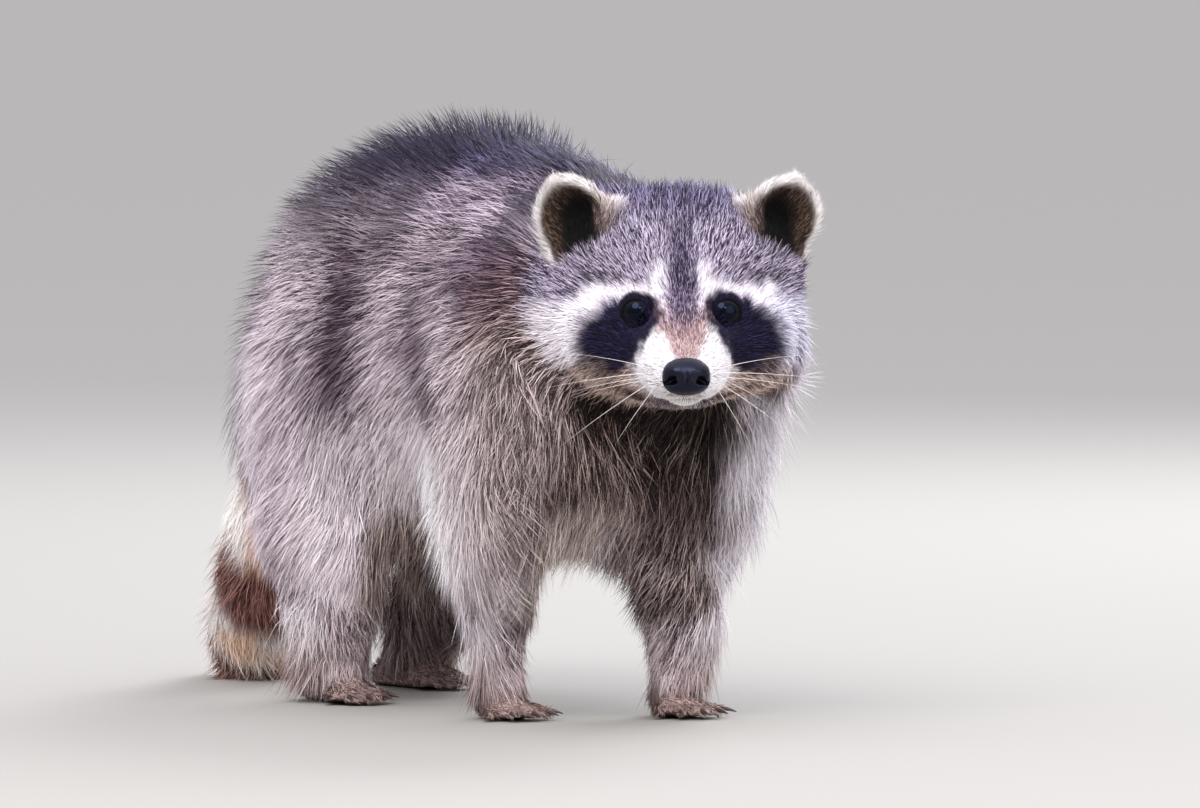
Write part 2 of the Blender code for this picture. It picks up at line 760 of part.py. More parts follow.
def main():
    clear_scene()
    body = fuse(rounded_forms())
    trim_at_floor(body)
    nodes = {}
    body, found = part_head(body)
    nodes.update((node.name, node) for node in found)
    body, found = part_tail(body)
    nodes.update((node.name, node) for node in found)
    for kind in FEET:
        for side in SIDES:
            body, found = part_leg(body, kind, side)
            nodes.update((node.name, node) for node in found)
    nodes.update((node.name, node) for node in part_trunk(body))

    seat(nodes, [("muzzle", nose("pocket", GAP)), *(("head", eye("pocket", side, GAP)) for side in SIDES)])
    nodes["nose"] = nose("nose")
    for side in SIDES:
        nodes[f"eye_{side}"] = eye(f"eye_{side}", side)
    for kind in FEET:
        for side in SIDES:
            for k, toe in enumerate(toes(kind, side)):
                cut(nodes[f"{kind}foot_{side}"], claw("pocket", kind, *toe, grow=GAP))
                name = f"claw_{kind}_{side}_{k + 1}"
                nodes[name] = claw(name, kind, *toe)

    looks = {name: material(f"coat_{name}", colour, 0.9) for name, colour in colours().items()}
    looks["nose"] = material("nose", (0.02, 0.02, 0.025), 0.35)
    looks["eye"] = material("eye", (0.01, 0.008, 0.008), 0.08)
    looks["claw"] = material("claw", (0.10, 0.08, 0.07), 0.45)
    for name, node in nodes.items():
        key = name if name in looks else name.split("_")[0]
        finish(node, looks[key])
    centre_on_floor(list(nodes.values()))


if __name__ == "__main__":
    main()
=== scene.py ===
"""A raccoon in mid stride: one skin under tufts of fur, with eyes, nose, claws and whiskers.

The frame's axes are in metres: +X is the animal's left, -Y its front and +Z up. Skin and coat take their
colours from the same function, markings().
"""

import math

import bmesh
import bpy
import numpy as np
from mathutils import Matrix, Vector
from mathutils.bvhtree import BVHTree


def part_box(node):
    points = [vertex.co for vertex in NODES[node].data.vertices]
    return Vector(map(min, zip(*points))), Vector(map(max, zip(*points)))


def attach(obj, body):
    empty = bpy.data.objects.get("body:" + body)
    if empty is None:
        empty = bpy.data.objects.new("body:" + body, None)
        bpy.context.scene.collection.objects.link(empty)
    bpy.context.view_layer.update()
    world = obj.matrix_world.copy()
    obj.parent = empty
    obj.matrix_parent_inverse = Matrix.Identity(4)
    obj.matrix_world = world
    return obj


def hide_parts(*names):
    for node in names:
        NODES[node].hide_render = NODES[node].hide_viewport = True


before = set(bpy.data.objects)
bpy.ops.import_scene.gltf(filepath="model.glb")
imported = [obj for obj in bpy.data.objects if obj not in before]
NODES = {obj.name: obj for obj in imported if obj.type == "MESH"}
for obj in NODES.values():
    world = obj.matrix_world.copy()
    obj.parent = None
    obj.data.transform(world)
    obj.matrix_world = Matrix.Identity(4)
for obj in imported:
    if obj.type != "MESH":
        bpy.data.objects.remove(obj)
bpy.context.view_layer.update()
MM = 0.001
SIDES = {"left": 1, "right": -1}

# --- arithmetic on arrays ---
def ramp(low, high, value):
    """0 at low, 1 at high, smooth between. low may be the larger."""
    t = np.clip((value - low) / (high - low), 0, 1)
    return t * t * (3 - 2 * t)


def unit(vectors):
    return vectors / np.maximum(np.linalg.norm(vectors, axis=-1, keepdims=True), 1e-12)


def dot(a, b):
    return (a * b).sum(-1, keepdims=True)


def oval(x, y, middle_x, middle_y, half_wide, half_high):
    """0 at the middle of an oval and 1 at its edge."""
    return np.hypot((x - middle_x) / half_wide, (y - middle_y) / half_high)


def along_line(points, start, end, most=1):
    """How far along a line each point is, from 0 at its start to most, and its distance from there."""
    way = end - start
    part = np.clip((points - start) @ way / (way @ way), 0, most)
    return part, np.linalg.norm(points - start - part[:, None] * way, axis=1)


def scatter(cells, salt):
    """A fixed number from 0 to 1 for each triple of whole numbers."""
    x, y, z = (cells[..., k].astype(np.int64).astype(np.uint32) for k in range(3))
    mixed = x * np.uint32(374761393) + y * np.uint32(668265263) + z * np.uint32(2246822519)
    mixed = mixed + np.uint32(salt * 97 + 13)
    for shift, factor in ((15, 2246822519), (13, 3266489917)):
        mixed = (mixed ^ (mixed >> np.uint32(shift))) * np.uint32(factor)
    return (mixed ^ (mixed >> np.uint32(16))) / 4294967296.0


def noise(points, size, salt):
    """Soft noise from 0 to 1 whose lumps are about the size given."""
    place = points / size
    cell = np.floor(place)
    part = place - cell
    part = part * part * (3 - 2 * part)
    total = 0
    for corner in np.ndindex(2, 2, 2):
        weight = np.prod(np.where(corner, part, 1 - part), axis=-1)
        total = total + weight * scatter(cell + np.array(corner), salt)
    return total


def locks(points, size, salt):
    """The middle of the lock that each point belongs to, and that lock's own number from 0 to 1."""
    cell = np.floor(points / size)
    nearest = np.full(len(points), np.inf)
    centre, number = np.zeros_like(points), np.zeros(len(points))
    for step in np.ndindex(3, 3, 3):
        other = cell + np.array(step) - 1
        jitter = np.stack([scatter(other, salt + k) for k in range(3)], axis=-1)
        place = (other + jitter) * size
        distance = ((place - points) ** 2).sum(-1)
        closer = distance < nearest
        nearest[closer] = distance[closer]
        centre[closer] = place[closer]
        number[closer] = scatter(other[closer], salt + 7)
    return centre, number


def rgb(red, green, blue):
    """A linear colour from the usual 0 to 255 steps."""
    steps = np.array((red, green, blue)) / 255
    return np.where(steps <= 0.04045, steps / 12.92, ((steps + 0.055) / 1.055) ** 2.4)


def mix(first, second, share):
    """Colours at the given shares of the way from the first to the second."""
    return first + share[:, None] * (second - first)


# --- where the head is ---
def middle(node):
    low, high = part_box(node)
    return np.array((low + high) / 2)


EYES = {side: middle(f"eye_{side}") for side in SIDES}
EYE_RADIUS = float(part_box("eye_left")[1].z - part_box("eye_left")[0].z) / 2
UP = np.array((0.0, 0.0, 1.0))
HEAD_LEFT = unit(EYES["left"] - EYES["right"])
HEAD_FORWARD = np.array((HEAD_LEFT[1], -HEAD_LEFT[0], 0.0))
NOSE = middle("nose")
HEAD = (EYES["left"] + EYES["right"]) / 2 - HEAD_FORWARD * 16.5 * MM
HEAD[2] = 0
# half width and half length in millimetres, then lean and turn outward in degrees
EAR_WIDE, EAR_LONG, EAR_LEAN, EAR_TURN = 21.5, 27.5, 24, 22


def on_head(sideways, forward, height):
    """A point given in millimetres from the middle of the head, and over the floor."""
    return HEAD + (HEAD_LEFT * sideways + HEAD_FORWARD * forward + UP * height) * MM


def face_place(points):
    """Sideways, forward and height of each point, in millimetres."""
    away = (points - HEAD) / MM
    return away @ HEAD_LEFT, away @ HEAD_FORWARD, away @ UP


def ear_axes(side):
    """Across the ear, out of its opening and towards its tip."""
    x = SIDES[side]
    lean, turn = math.radians(EAR_LEAN), math.radians(EAR_TURN)
    tip = HEAD_LEFT * (x * math.sin(lean)) + UP * math.cos(lean)
    opening = HEAD_LEFT * (x * math.sin(turn)) + HEAD_FORWARD * math.cos(turn)
    opening = unit(opening - tip * (opening @ tip))
    return np.cross(opening, tip), opening, tip


EAR_MIDDLE = {side: on_head(55 * x, -16, 268) for side, x in SIDES.items()}


def ear_place(points, side):
    """Across the ear, out of its opening and up it, in millimetres, and how near its rim from 0 to 1."""
    across, out, up = ((points - EAR_MIDDLE[side]) / MM @ axis for axis in ear_axes(side))
    return across, out, up, oval(across, up, 0, 0, EAR_WIDE, EAR_LONG)


# the seen eyeballs sit a little lower and nearer the nose than the frame's
BALLS = {side: EYES[side] - (HEAD_LEFT * SIDES[side] * 1.2 + UP * 1.6) * MM for side in SIDES}


def from_eyes(points):
    """How far each point is from the middle of the nearer eyeball, in millimetres."""
    return np.min([np.linalg.norm(points - ball, axis=1) for ball in BALLS.values()], axis=0) / MM


def eye_axes(side):
    """Across the eye, up it, and out of it: the eyes look forward and a little outward."""
    out = unit(HEAD_FORWARD + HEAD_LEFT * (SIDES[side] * 0.2) + UP * 0.06)
    across = unit(np.cross(UP, out))
    return across, np.cross(out, across), out


# from the eyeball outward: how far past the opening's edge, and how far ahead of the ball there
LID_PROFILE = ((-0.4, -0.5), (0.0, 0.12), (0.3, 0.4), (0.7, 0.36), (1.2, -0.3), (2.0, -1.8), (3.0, -4.0))
LID_STEPS = 56
EYE_OPENING = (6.9, 6.1)    # half width and half height, in millimetres
BALL_RADIUS = 10.4 * MM
BALL_BACK = BALL_RADIUS - EYE_RADIUS - 0.6 * MM    # its front stands 0.6 mm proud of the frame's eye

# --- the surface out to the coat's tips ---
FLESH = [name for name in NODES if not name.startswith(("eye", "nose", "claw"))]
SKIN_GRID = 2.6 * MM
SMOOTH_PASSES = 20


def rows(items, field, kind, wide=3):
    """One field of Blender's items, as an array with a row for each."""
    flat = np.empty(len(items) * wide, kind)
    items.foreach_get(field, flat)
    return flat.reshape(-1, wide)


def point_array(mesh):
    return rows(mesh.vertices, "co", np.float32).astype(np.float64)


def triangle_array(mesh):
    mesh.calc_loop_triangles()
    return rows(mesh.loop_triangles, "vertices", np.int32)


def node_parts(names):
    """The points and triangles of each node given."""
    parts = []
    for name in names:
        place = np.array(NODES[name].matrix_world)
        points = point_array(NODES[name].data) @ place[:3, :3].T + place[:3, 3]
        parts.append((points, triangle_array(NODES[name].data)))
    return parts


def joined(parts):
    """The points and faces of several parts as one part's."""
    points, faces = zip(*parts)
    starts = np.cumsum([0, *map(len, points)])
    return np.concatenate(points), np.concatenate([part + start for part, start in zip(faces, starts)])


def new_mesh(name, points, faces):
    mesh = bpy.data.meshes.new(name)
    mesh.from_pydata(points.tolist(), [], faces.tolist(), shade_flat=False)
    return mesh


def show(name, data, material=None):
    """An object of a mesh, light or camera."""
    made = bpy.data.objects.new(name, data)
    bpy.context.scene.collection.objects.link(made)
    if material:
        data.materials.append(material)
    return made


def fused_envelope():
    """One closed surface round every node of flesh, finer over the face."""
    parts = node_parts([*FLESH, "nose", "eye_left", "eye_right"])
    whole = show("envelope", new_mesh("envelope", *joined(parts)))
    remesh = whole.modifiers.new("fuse", "REMESH")
    remesh.mode = "VOXEL"
    remesh.voxel_size = SKIN_GRID
    graph = bpy.context.evaluated_depsgraph_get()
    mesh = bpy.data.meshes.new_from_object(whole.evaluated_get(graph))
    bpy.data.objects.remove(whole, do_unlink=True)
    shape = bmesh.new()
    shape.from_mesh(mesh)
    near = set()
    for face in shape.faces:
        across, ahead, high = face_place(np.array(face.calc_center_median()))
        if ahead > 12 and abs(across) < 42 and abs(high - 212) < 42:
            near.update(face.edges)
    bmesh.ops.subdivide_edges(shape, edges=list(near), cuts=1, use_grid_fill=True)
    bmesh.ops.triangulate(shape, faces=shape.faces)
    shape.to_mesh(mesh)
    shape.free()
    return mesh


class Surface:
    """The points, triangles and edges of a closed surface."""

    def __init__(self, mesh):
        self.points = point_array(mesh)
        self.faces = triangle_array(mesh)
        pairs = np.concatenate([self.faces[:, pair] for pair in ((0, 1), (1, 2), (2, 0))])
        self.edges = np.unique(np.sort(pairs, axis=1), axis=0)
        self.neighbours = np.bincount(self.edges.ravel(), minlength=len(self.points))

    def around(self, values):
        """The mean of each point's neighbours."""
        first, second = self.edges.T
        count = len(self.points)
        sums = [
            np.bincount(first, column[second], count) + np.bincount(second, column[first], count)
            for column in values.reshape(count, -1).T
        ]
        return (np.array(sums) / self.neighbours).T.reshape(values.shape)

    def smoothed(self, values, passes, share=0.5):
        """The values after passes of moving towards their neighbours' mean, by a share that may vary."""
        share = np.asarray(share, float)
        if share.ndim and values.ndim > 1:
            share = share[:, None]
        for _ in range(passes):
            values = values + share * (self.around(values) - values)
        return values

    def normals(self, points):
        a, b, c = points[self.faces.T]
        across = np.cross(b - a, c - a)
        total = np.zeros_like(points)
        for corners in self.faces.T:
            for axis in range(3):
                total[:, axis] += np.bincount(corners, across[:, axis], len(points))
        return unit(total)


body = Surface(fused_envelope())

# which node each point lies nearest to
flesh_parts = node_parts(FLESH)
face_owner = np.repeat(range(len(FLESH)), [len(faces) for _, faces in flesh_parts])
tree = BVHTree.FromPolygons(*(values.tolist() for values in joined(flesh_parts)))
owner = np.array([face_owner[tree.find_nearest(Vector(point))[2]] for point in body.points])
KIND = [name.replace("_left", "").replace("_right", "") for name in FLESH]
point_kind = np.array(KIND)[owner]
point_node = np.array(FLESH)[owner]


def belongs(*kinds):
    return np.isin(point_kind, kinds).astype(float)


sideways, forward, height = face_place(body.points)
body_x, body_y, _ = body.points.T / MM
eye_distance = from_eyes(body.points)
fine_part = body.smoothed(belongs("muzzle", "ear", "forefoot", "hindfoot"), 6)
fine_part = np.maximum(fine_part, ramp(24, 12, eye_distance))
softness = 0.5 * (1 - 0.86 * fine_part) * (1 - 0.45 * belongs("head", "muzzle"))
envelope = body.smoothed(body.points, SMOOTH_PASSES, softness)
near_floor = height < 1
envelope[near_floor, 2] = np.minimum(envelope, body.points)[near_floor, 2]

# --- how the coat grows on each part ---
TAIL = ("tail_base", "tail_middle", "tail_end", "tail_tip")
# depth from skin to the tips' surface, hair length, hair width, spread in degrees, how far locks draw
# together, and how far the tips rise, as a share of the depth
COAT = {
    "trunk": (17, 29, 0.66, 12, 0.22, 0.9), "rump": (17, 31, 0.66, 13, 0.22, 0.92),
    "chest": (17, 36, 0.58, 16, 0.42, 1.0), "neck": (15, 27, 0.64, 13, 0.22, 0.95),
    "shoulder": (16, 36, 0.62, 15, 0.4, 1.0), "thigh": (16, 38, 0.64, 13, 0.52, 1.0),
    "forearm": (5.5, 24, 0.56, 12, 0.4, 1.3), "shank": (6.5, 31, 0.6, 13, 0.5, 1.65),
    "forefoot": (1.7, 7, 0.5, 12, 0.2, 1.2), "hindfoot": (1.9, 8, 0.5, 12, 0.2, 1.2),
    "head": (6, 14, 0.5, 11, 0.22, 1.0), "muzzle": (1.9, 5.0, 0.4, 9, 0.1, 1.0),
    "ear": (1.5, 7.0, 0.36, 12, 0.12, 1.6),
}
for name, deep, long in zip(TAIL, (14, 14, 13, 9), (34, 32, 30, 24)):
    COAT[name] = (deep, long, 0.72, 16, 0.3, 1.2)
outward = unit(body.smoothed(body.normals(envelope), 4))
growth = np.array([COAT[kind] for kind in KIND])[owner].T
depth, length, _, _, _, lift = growth
back_of_head = ramp(14, -30, forward)
ruff = ramp(36, 60, np.abs(sideways)) * ramp(240, 215, height)
is_head = point_kind == "head"
head_depth = 2.6 + 6.0 * back_of_head * ramp(284, 258, height) + 7 * ruff * ramp(20, -12, forward)
head_length = 7.5 + 9 * back_of_head + 15 * ruff * ramp(22, -8, forward)
head_width = 0.44 + 0.16 * back_of_head + 0.1 * ruff
growth[:3, is_head] = np.array([np.clip(head_depth, 0, 14), head_length, head_width])[:, is_head]
# below the elbow and the knee the long coat thins out into the leg's
hem = belongs("shoulder", "thigh") * ramp(128, 66, height)
depth *= 1 - 0.55 * hem
length *= 1 - 0.22 * hem
# longer, prouder hair on the legs, the left of the breast, the crown and the ears' rims, flatter on the nape
fringe_way = outward[:, 1] * 0.6 + outward[:, 0] * np.sign(body_x) * 0.8
left_foreleg = belongs("forearm") * (body_x > 0)
# painted rim light: the left foreleg's hair that faces the side of the rim light joins the pale fringe
fringe_way = np.maximum(fringe_way, left_foreleg * (outward[:, 0] * 0.87 - outward[:, 1] * 0.5) - 0.1)
fringe = belongs("forearm", "shank") * ramp(0.05, 0.75, fringe_way) * ramp(14, 40, height)
trailing = belongs("shoulder") * ramp(0.05, 0.75, fringe_way) * ramp(150, 110, height)
left_edge = ramp(132, 150, 0.87 * body_x - 0.5 * body_y) * ramp(238, 212, height)
left_edge *= belongs("shoulder", "chest", "neck") * ramp(96, 78, body_x)
crown = ramp(262, 280, height) * ramp(36, 14, forward) * is_head
near_rim = {side: ramp(0.78, 0.95, ear_place(body.points, side)[3]) for side in SIDES}
rims = sum((point_node == f"ear_{side}") * near_rim[side] for side in SIDES)
nape = belongs("neck") * ramp(255, 285, height)
for where, longer, prouder in (
    (fringe, 12, 2.2), (trailing, 5, 0.4), (left_edge, 7, 0.8),
    (crown, 5, 1.0), (rims, 3.5, 2.4), (nape, 0, -0.45),
):
    length += longer * where
    lift += prouder * where
depth, length, width, spread, gather, lift = body.smoothed(growth.T, 22).T
near_nose = ramp(20, 9, np.linalg.norm(body.points - NOSE, axis=1) / MM)
near_eye = ramp(17, 9, eye_distance)
sole = ramp(4, 1, height)
depth *= (1 - 0.8 * near_eye) * (1 - 0.55 * near_nose) * (1 - 0.9 * sole) * MM
length *= (1 - 0.6 * near_eye) * (1 - 0.6 * near_nose) * (1 - 0.75 * sole) * MM
width *= MM
spread = np.radians(spread)
skin_points = envelope - outward * depth[:, None]
skin_points = body.smoothed(skin_points, 4, 0.5 * (1 - fine_part))


def sculpt(points, normals):
    """The mouth's line, the lower lip and the cleft under the nose, and where the dark of them lies."""
    across, ahead, high = face_place(points)
    mouth = 178.6 - 0.0022 * across**2 + 0.05 * np.clip(60 - ahead, 0, 40)
    lips = ramp(30, 44, ahead) * ramp(33, 22, np.abs(across))
    groove = np.exp(-((high - mouth) / 0.9) ** 2) * lips
    lower_lip = np.exp(-((high - mouth + 2.6) / 1.8) ** 2) * lips
    cleft = np.exp(-(across / 0.7) ** 2) * ramp(183, 180, high) * ramp(176, 178, high) * ramp(60, 66, ahead)
    change = -1.7 * groove + 0.5 * lower_lip - 0.9 * cleft
    return points + normals * (change * MM)[:, None], np.clip(groove + cleft, 0, 1)


# the skin round each eye falls back behind the lids
opening = np.mean(EYE_OPENING)
edge = math.sqrt((BALL_RADIUS / MM) ** 2 - opening**2) - BALL_BACK / MM
for side in SIDES:
    out = eye_axes(side)[2]
    away = (skin_points - BALLS[side]) / MM
    ahead = away @ out
    beside = np.linalg.norm(away - ahead[:, None] * out, axis=1)
    level = edge - 0.25 * np.maximum(beside - opening, 0)
    over = np.maximum(ahead - level, 0) * ramp(12.5, 9.0, beside) * ramp(-14, -8, ahead)
    skin_points -= out * (over * MM)[:, None]
pad_distance = np.hypot(oval(sideways, forward, 0, 69.5, 13.0, 9.5), (height - 191) / 10.5)
skin_points -= HEAD_FORWARD * (10 * MM * ramp(1.0, 0.72, pad_distance))[:, None]
skin_normals = body.normals(skin_points)
skin_points, mouth_line = sculpt(skin_points, skin_normals)
skin_points[:, 2] = np.maximum(skin_points[:, 2], 0)
skin_normals = body.normals(skin_points)

# --- the lie of the coat ---
TAIL_PATH = [middle(name) for name in TAIL]


def only(*kinds):
    return np.isin(point_kind, kinds)[:, None]


def lie(points, normals):
    """Which way the hair points: back and down along the body, and away from the nose on the head."""
    x, _, z = points.T / MM
    down = ramp(330, 120, z)
    outside = 0.25 * np.sign(x) * ramp(20, 60, np.abs(x)) * down
    flow = np.stack([outside, 1 - 0.62 * down**2, -0.12 - 1.05 * down**3], axis=-1)
    # the breast's hair hangs from the throat
    breast = ramp(-0.2, -0.75, normals[:, 1]) * belongs("chest", "neck", "shoulder")
    flow += breast[:, None] * (0.0, -0.9, -1.6)
    from_head = unit(points - on_head(0, -10, 235))
    flow = np.where(only("neck"), 0.5 * flow + from_head, flow)
    flow = np.where(only("forearm", "shank", "forefoot", "hindfoot"), (0.0, 0.15, -1.0), flow)
    feet = only("forefoot", "hindfoot") * ramp(26, 14, z)[:, None]
    flow = feet * (0.0, -1.0, -0.35) + flow * (1 - feet)
    ruff_fall = (ramp(30, 60, np.abs(sideways)) * ramp(235, 200, height))[:, None]
    flow = np.where(only("head", "muzzle"), unit(points - NOSE) - UP * 0.75 * ruff_fall, flow)
    for k, name in enumerate(TAIL):
        flow = np.where(only(name), unit(TAIL_PATH[min(k + 1, 3)] - TAIL_PATH[max(k - 1, 0)]), flow)
    for side in SIDES:
        tip = ear_axes(side)[2]
        from_root = unit(points - (EAR_MIDDLE[side] - tip * 18 * MM)) + tip * 0.4
        flow = np.where((point_node == f"ear_{side}")[:, None], from_root, flow)
    return flow


def tangent(vectors, normals):
    return unit(vectors - normals * dot(vectors, normals))


flow = tangent(lie(skin_points, skin_normals), skin_normals)
for _ in range(14):
    flow = tangent(body.smoothed(flow, 1, 0.6), skin_normals)


# how fast the surface turns away along the lie of the coat, in radians per metre
first, second = body.edges.T
step = skin_points[second] - skin_points[first]
reach = np.maximum((step**2).sum(-1), 1e-12)
turn = ((skin_normals[second] - skin_normals[first]) * step).sum(-1) / reach
total, weight = np.zeros((2, len(skin_points)))
for end in (first, second):
    along = (step * flow[end]).sum(-1) ** 2 / reach
    total += np.bincount(end, turn * along, len(skin_points))
    weight += np.bincount(end, along, len(skin_points))
bend = np.clip(body.smoothed(total / np.maximum(weight, 1e-9), 14), -4, 22)

# --- markings ---
# how far each point counts as head, ear, leg, foot, tail and fringe
GROUPS = (("head", "muzzle"), ("ear",), ("forearm", "shank"), ("forefoot", "hindfoot"), TAIL)
groups = body.smoothed(np.stack([*(belongs(*kinds) for kinds in GROUPS), fringe], axis=-1), 7)


class Paint:
    """For each point the dark and the light hair's colour and the share of light hairs."""

    def __init__(self, points, dark, light, share):
        self.dark = np.tile(rgb(*dark), (len(points), 1))
        self.light = np.tile(rgb(*light), (len(points), 1))
        self.share = np.full(len(points), share)

    def move(self, dark, light, share, amount, here=slice(None)):
        """Moves by the amount given, from 0 to 1, towards the paint given, at the points picked by here."""
        self.dark[here] = mix(self.dark[here], dark, amount)
        self.light[here] = mix(self.light[here], light, amount)
        self.share[here] += amount * (share - self.share[here])

    def lay(self, amount, dark, light, share):
        self.move(rgb(*dark), rgb(*light), share, np.clip(amount, 0, 1))


# along the body, width, lowest and highest, in millimetres, and how strong
FLANK_BANDS = ((6, 25, 158, 258, 0.92), (-78, 20, 205, 280, 0.45))
# where each dusky patch lies (out to the side, along the body, up), its radius and how strong
FLANK_PATCHES = (((80, -150, 248), 36, 0.95), ((95, -96, 198), 26, 0.82), ((88, -120, 168), 24, 0.62))


def paint_body(points):
    """The dark saddle, grizzled flanks with dusky bands, pale lower sides and dusky breast."""
    x, y, z = (points / MM).T
    wander = noise(points, 45 * MM, 1) - 0.5
    fine = noise(points, 17 * MM, 2) - 0.5
    side = np.abs(x)

    def away(out, along, up, squash=1.0):
        """Distance from a place on both sides of the body."""
        return np.sqrt((side - out) ** 2 + (y - along) ** 2 + ((z - up) * squash) ** 2)

    coat = Paint(points, (62, 46, 57), (242, 225, 235), 0.62)
    lay = coat.lay
    lay(ramp(190, 120, z + 24 * wander), (92, 73, 80), (252, 241, 247), 0.82)
    # pale haunch and a pale patch behind the elbow
    lay(0.85 * ramp(26, 56, y) * ramp(262, 222, z + 30 * wander), (86, 68, 80), (246, 231, 240), 0.64)
    lay(0.7 * ramp(62, 96, y) * ramp(205, 175, z) * ramp(60, 90, z), (160, 140, 154), (255, 246, 253), 0.84)
    lay(0.95 * ramp(72, 24, away(84, -110, 104) + 22 * fine), (224, 213, 217), (255, 253, 255), 0.96)
    # the belly and the legs' inner sides
    lay(0.9 * ramp(116, 94, z) * ramp(64, 50, side) * ramp(-130, -100, y),
        (72, 56, 54), (206, 184, 176), 0.52)
    # dusky bands and patches on the flank
    for centre, wide, low, high, strength in FLANK_BANDS:
        band = np.exp(-((y - centre + 0.1 * (z - 200) + 14 * wander) / wide) ** 2)
        band *= ramp(low - 18, low + 22, z) * ramp(high + 16, high - 16, z)
        lay(strength * band, (46, 33, 45), (138, 114, 132), 0.36)
    for place, radius, strength in FLANK_PATCHES:
        patch = ramp(radius * 1.3, radius * 0.3, away(*place, 1.2) + 16 * fine)
        lay(strength * patch, (41, 28, 42), (138, 112, 133), 0.29)
    lay(0.48 * ramp(0.6, 0.82, noise(points, 28 * MM, 3)) * ramp(140, 180, z),
        (58, 43, 55), (180, 158, 173), 0.48)
    lay(0.85 * ramp(56, 18, away(75, -175, 221) + 30 * wander), (55, 36, 40), (164, 129, 136), 0.4)
    # the back
    lay(0.75 * ramp(260, 296, z + 20 * wander), (48, 37, 53), (184, 163, 188), 0.48)
    lay(ramp(282, 304, z + 10 * fine), (28, 24, 42), (110, 97, 138), 0.3)
    # the breast: dusky, near black between the forelegs, paler on its right, and white along its left edge,
    # where pale fur carries painted rim light
    breast = ramp(-150, -188, y + 8 * fine) * ramp(232, 200, z)
    lay(breast, (42, 29, 27), (204, 182, 176), 0.38)
    lay(0.95 * breast * ramp(52, 36, np.abs(x + 4)) * ramp(202, 190, z) * ramp(144, 160, z),
        (24, 16, 14), (150, 126, 116), 0.16)
    middle_of_breast = ramp(46, 26, np.abs(x - 26)) * ramp(162, 142, z + 14 * fine)
    lay(breast * middle_of_breast, (30, 20, 19), (170, 147, 143), 0.26)
    lay(0.45 * ramp(-46, -66, x) * ramp(-105, -150, y) * ramp(212, 192, z),
        (104, 82, 85), (244, 230, 233), 0.62)
    lay(0.85 * ramp(6, -10, x) * ramp(-58, -44, x) * ramp(-105, -140, y) * ramp(124, 104, z),
        (104, 84, 78), (240, 226, 218), 0.62)
    lay(0.9 * ramp(-6, 14, x) * ramp(-105, -140, y) * ramp(122, 96, z), (44, 31, 30), (204, 184, 181), 0.44)
    # painted rim light: along the outline on the camera's right, the side the rim light comes from, pale fur
    # is laid near white
    toward_rim_light = 0.87 * x - 0.5 * y + 0.12 * np.clip(150 - z, 0, 80)
    edge = ramp(134, 156, toward_rim_light + 22 * fine) * ramp(238, 206, z + 16 * fine)
    lay(0.97 * edge * ramp(-100, -142, y + 20 * fine), (160, 148, 164), (252, 247, 253), 0.84)
    return coat


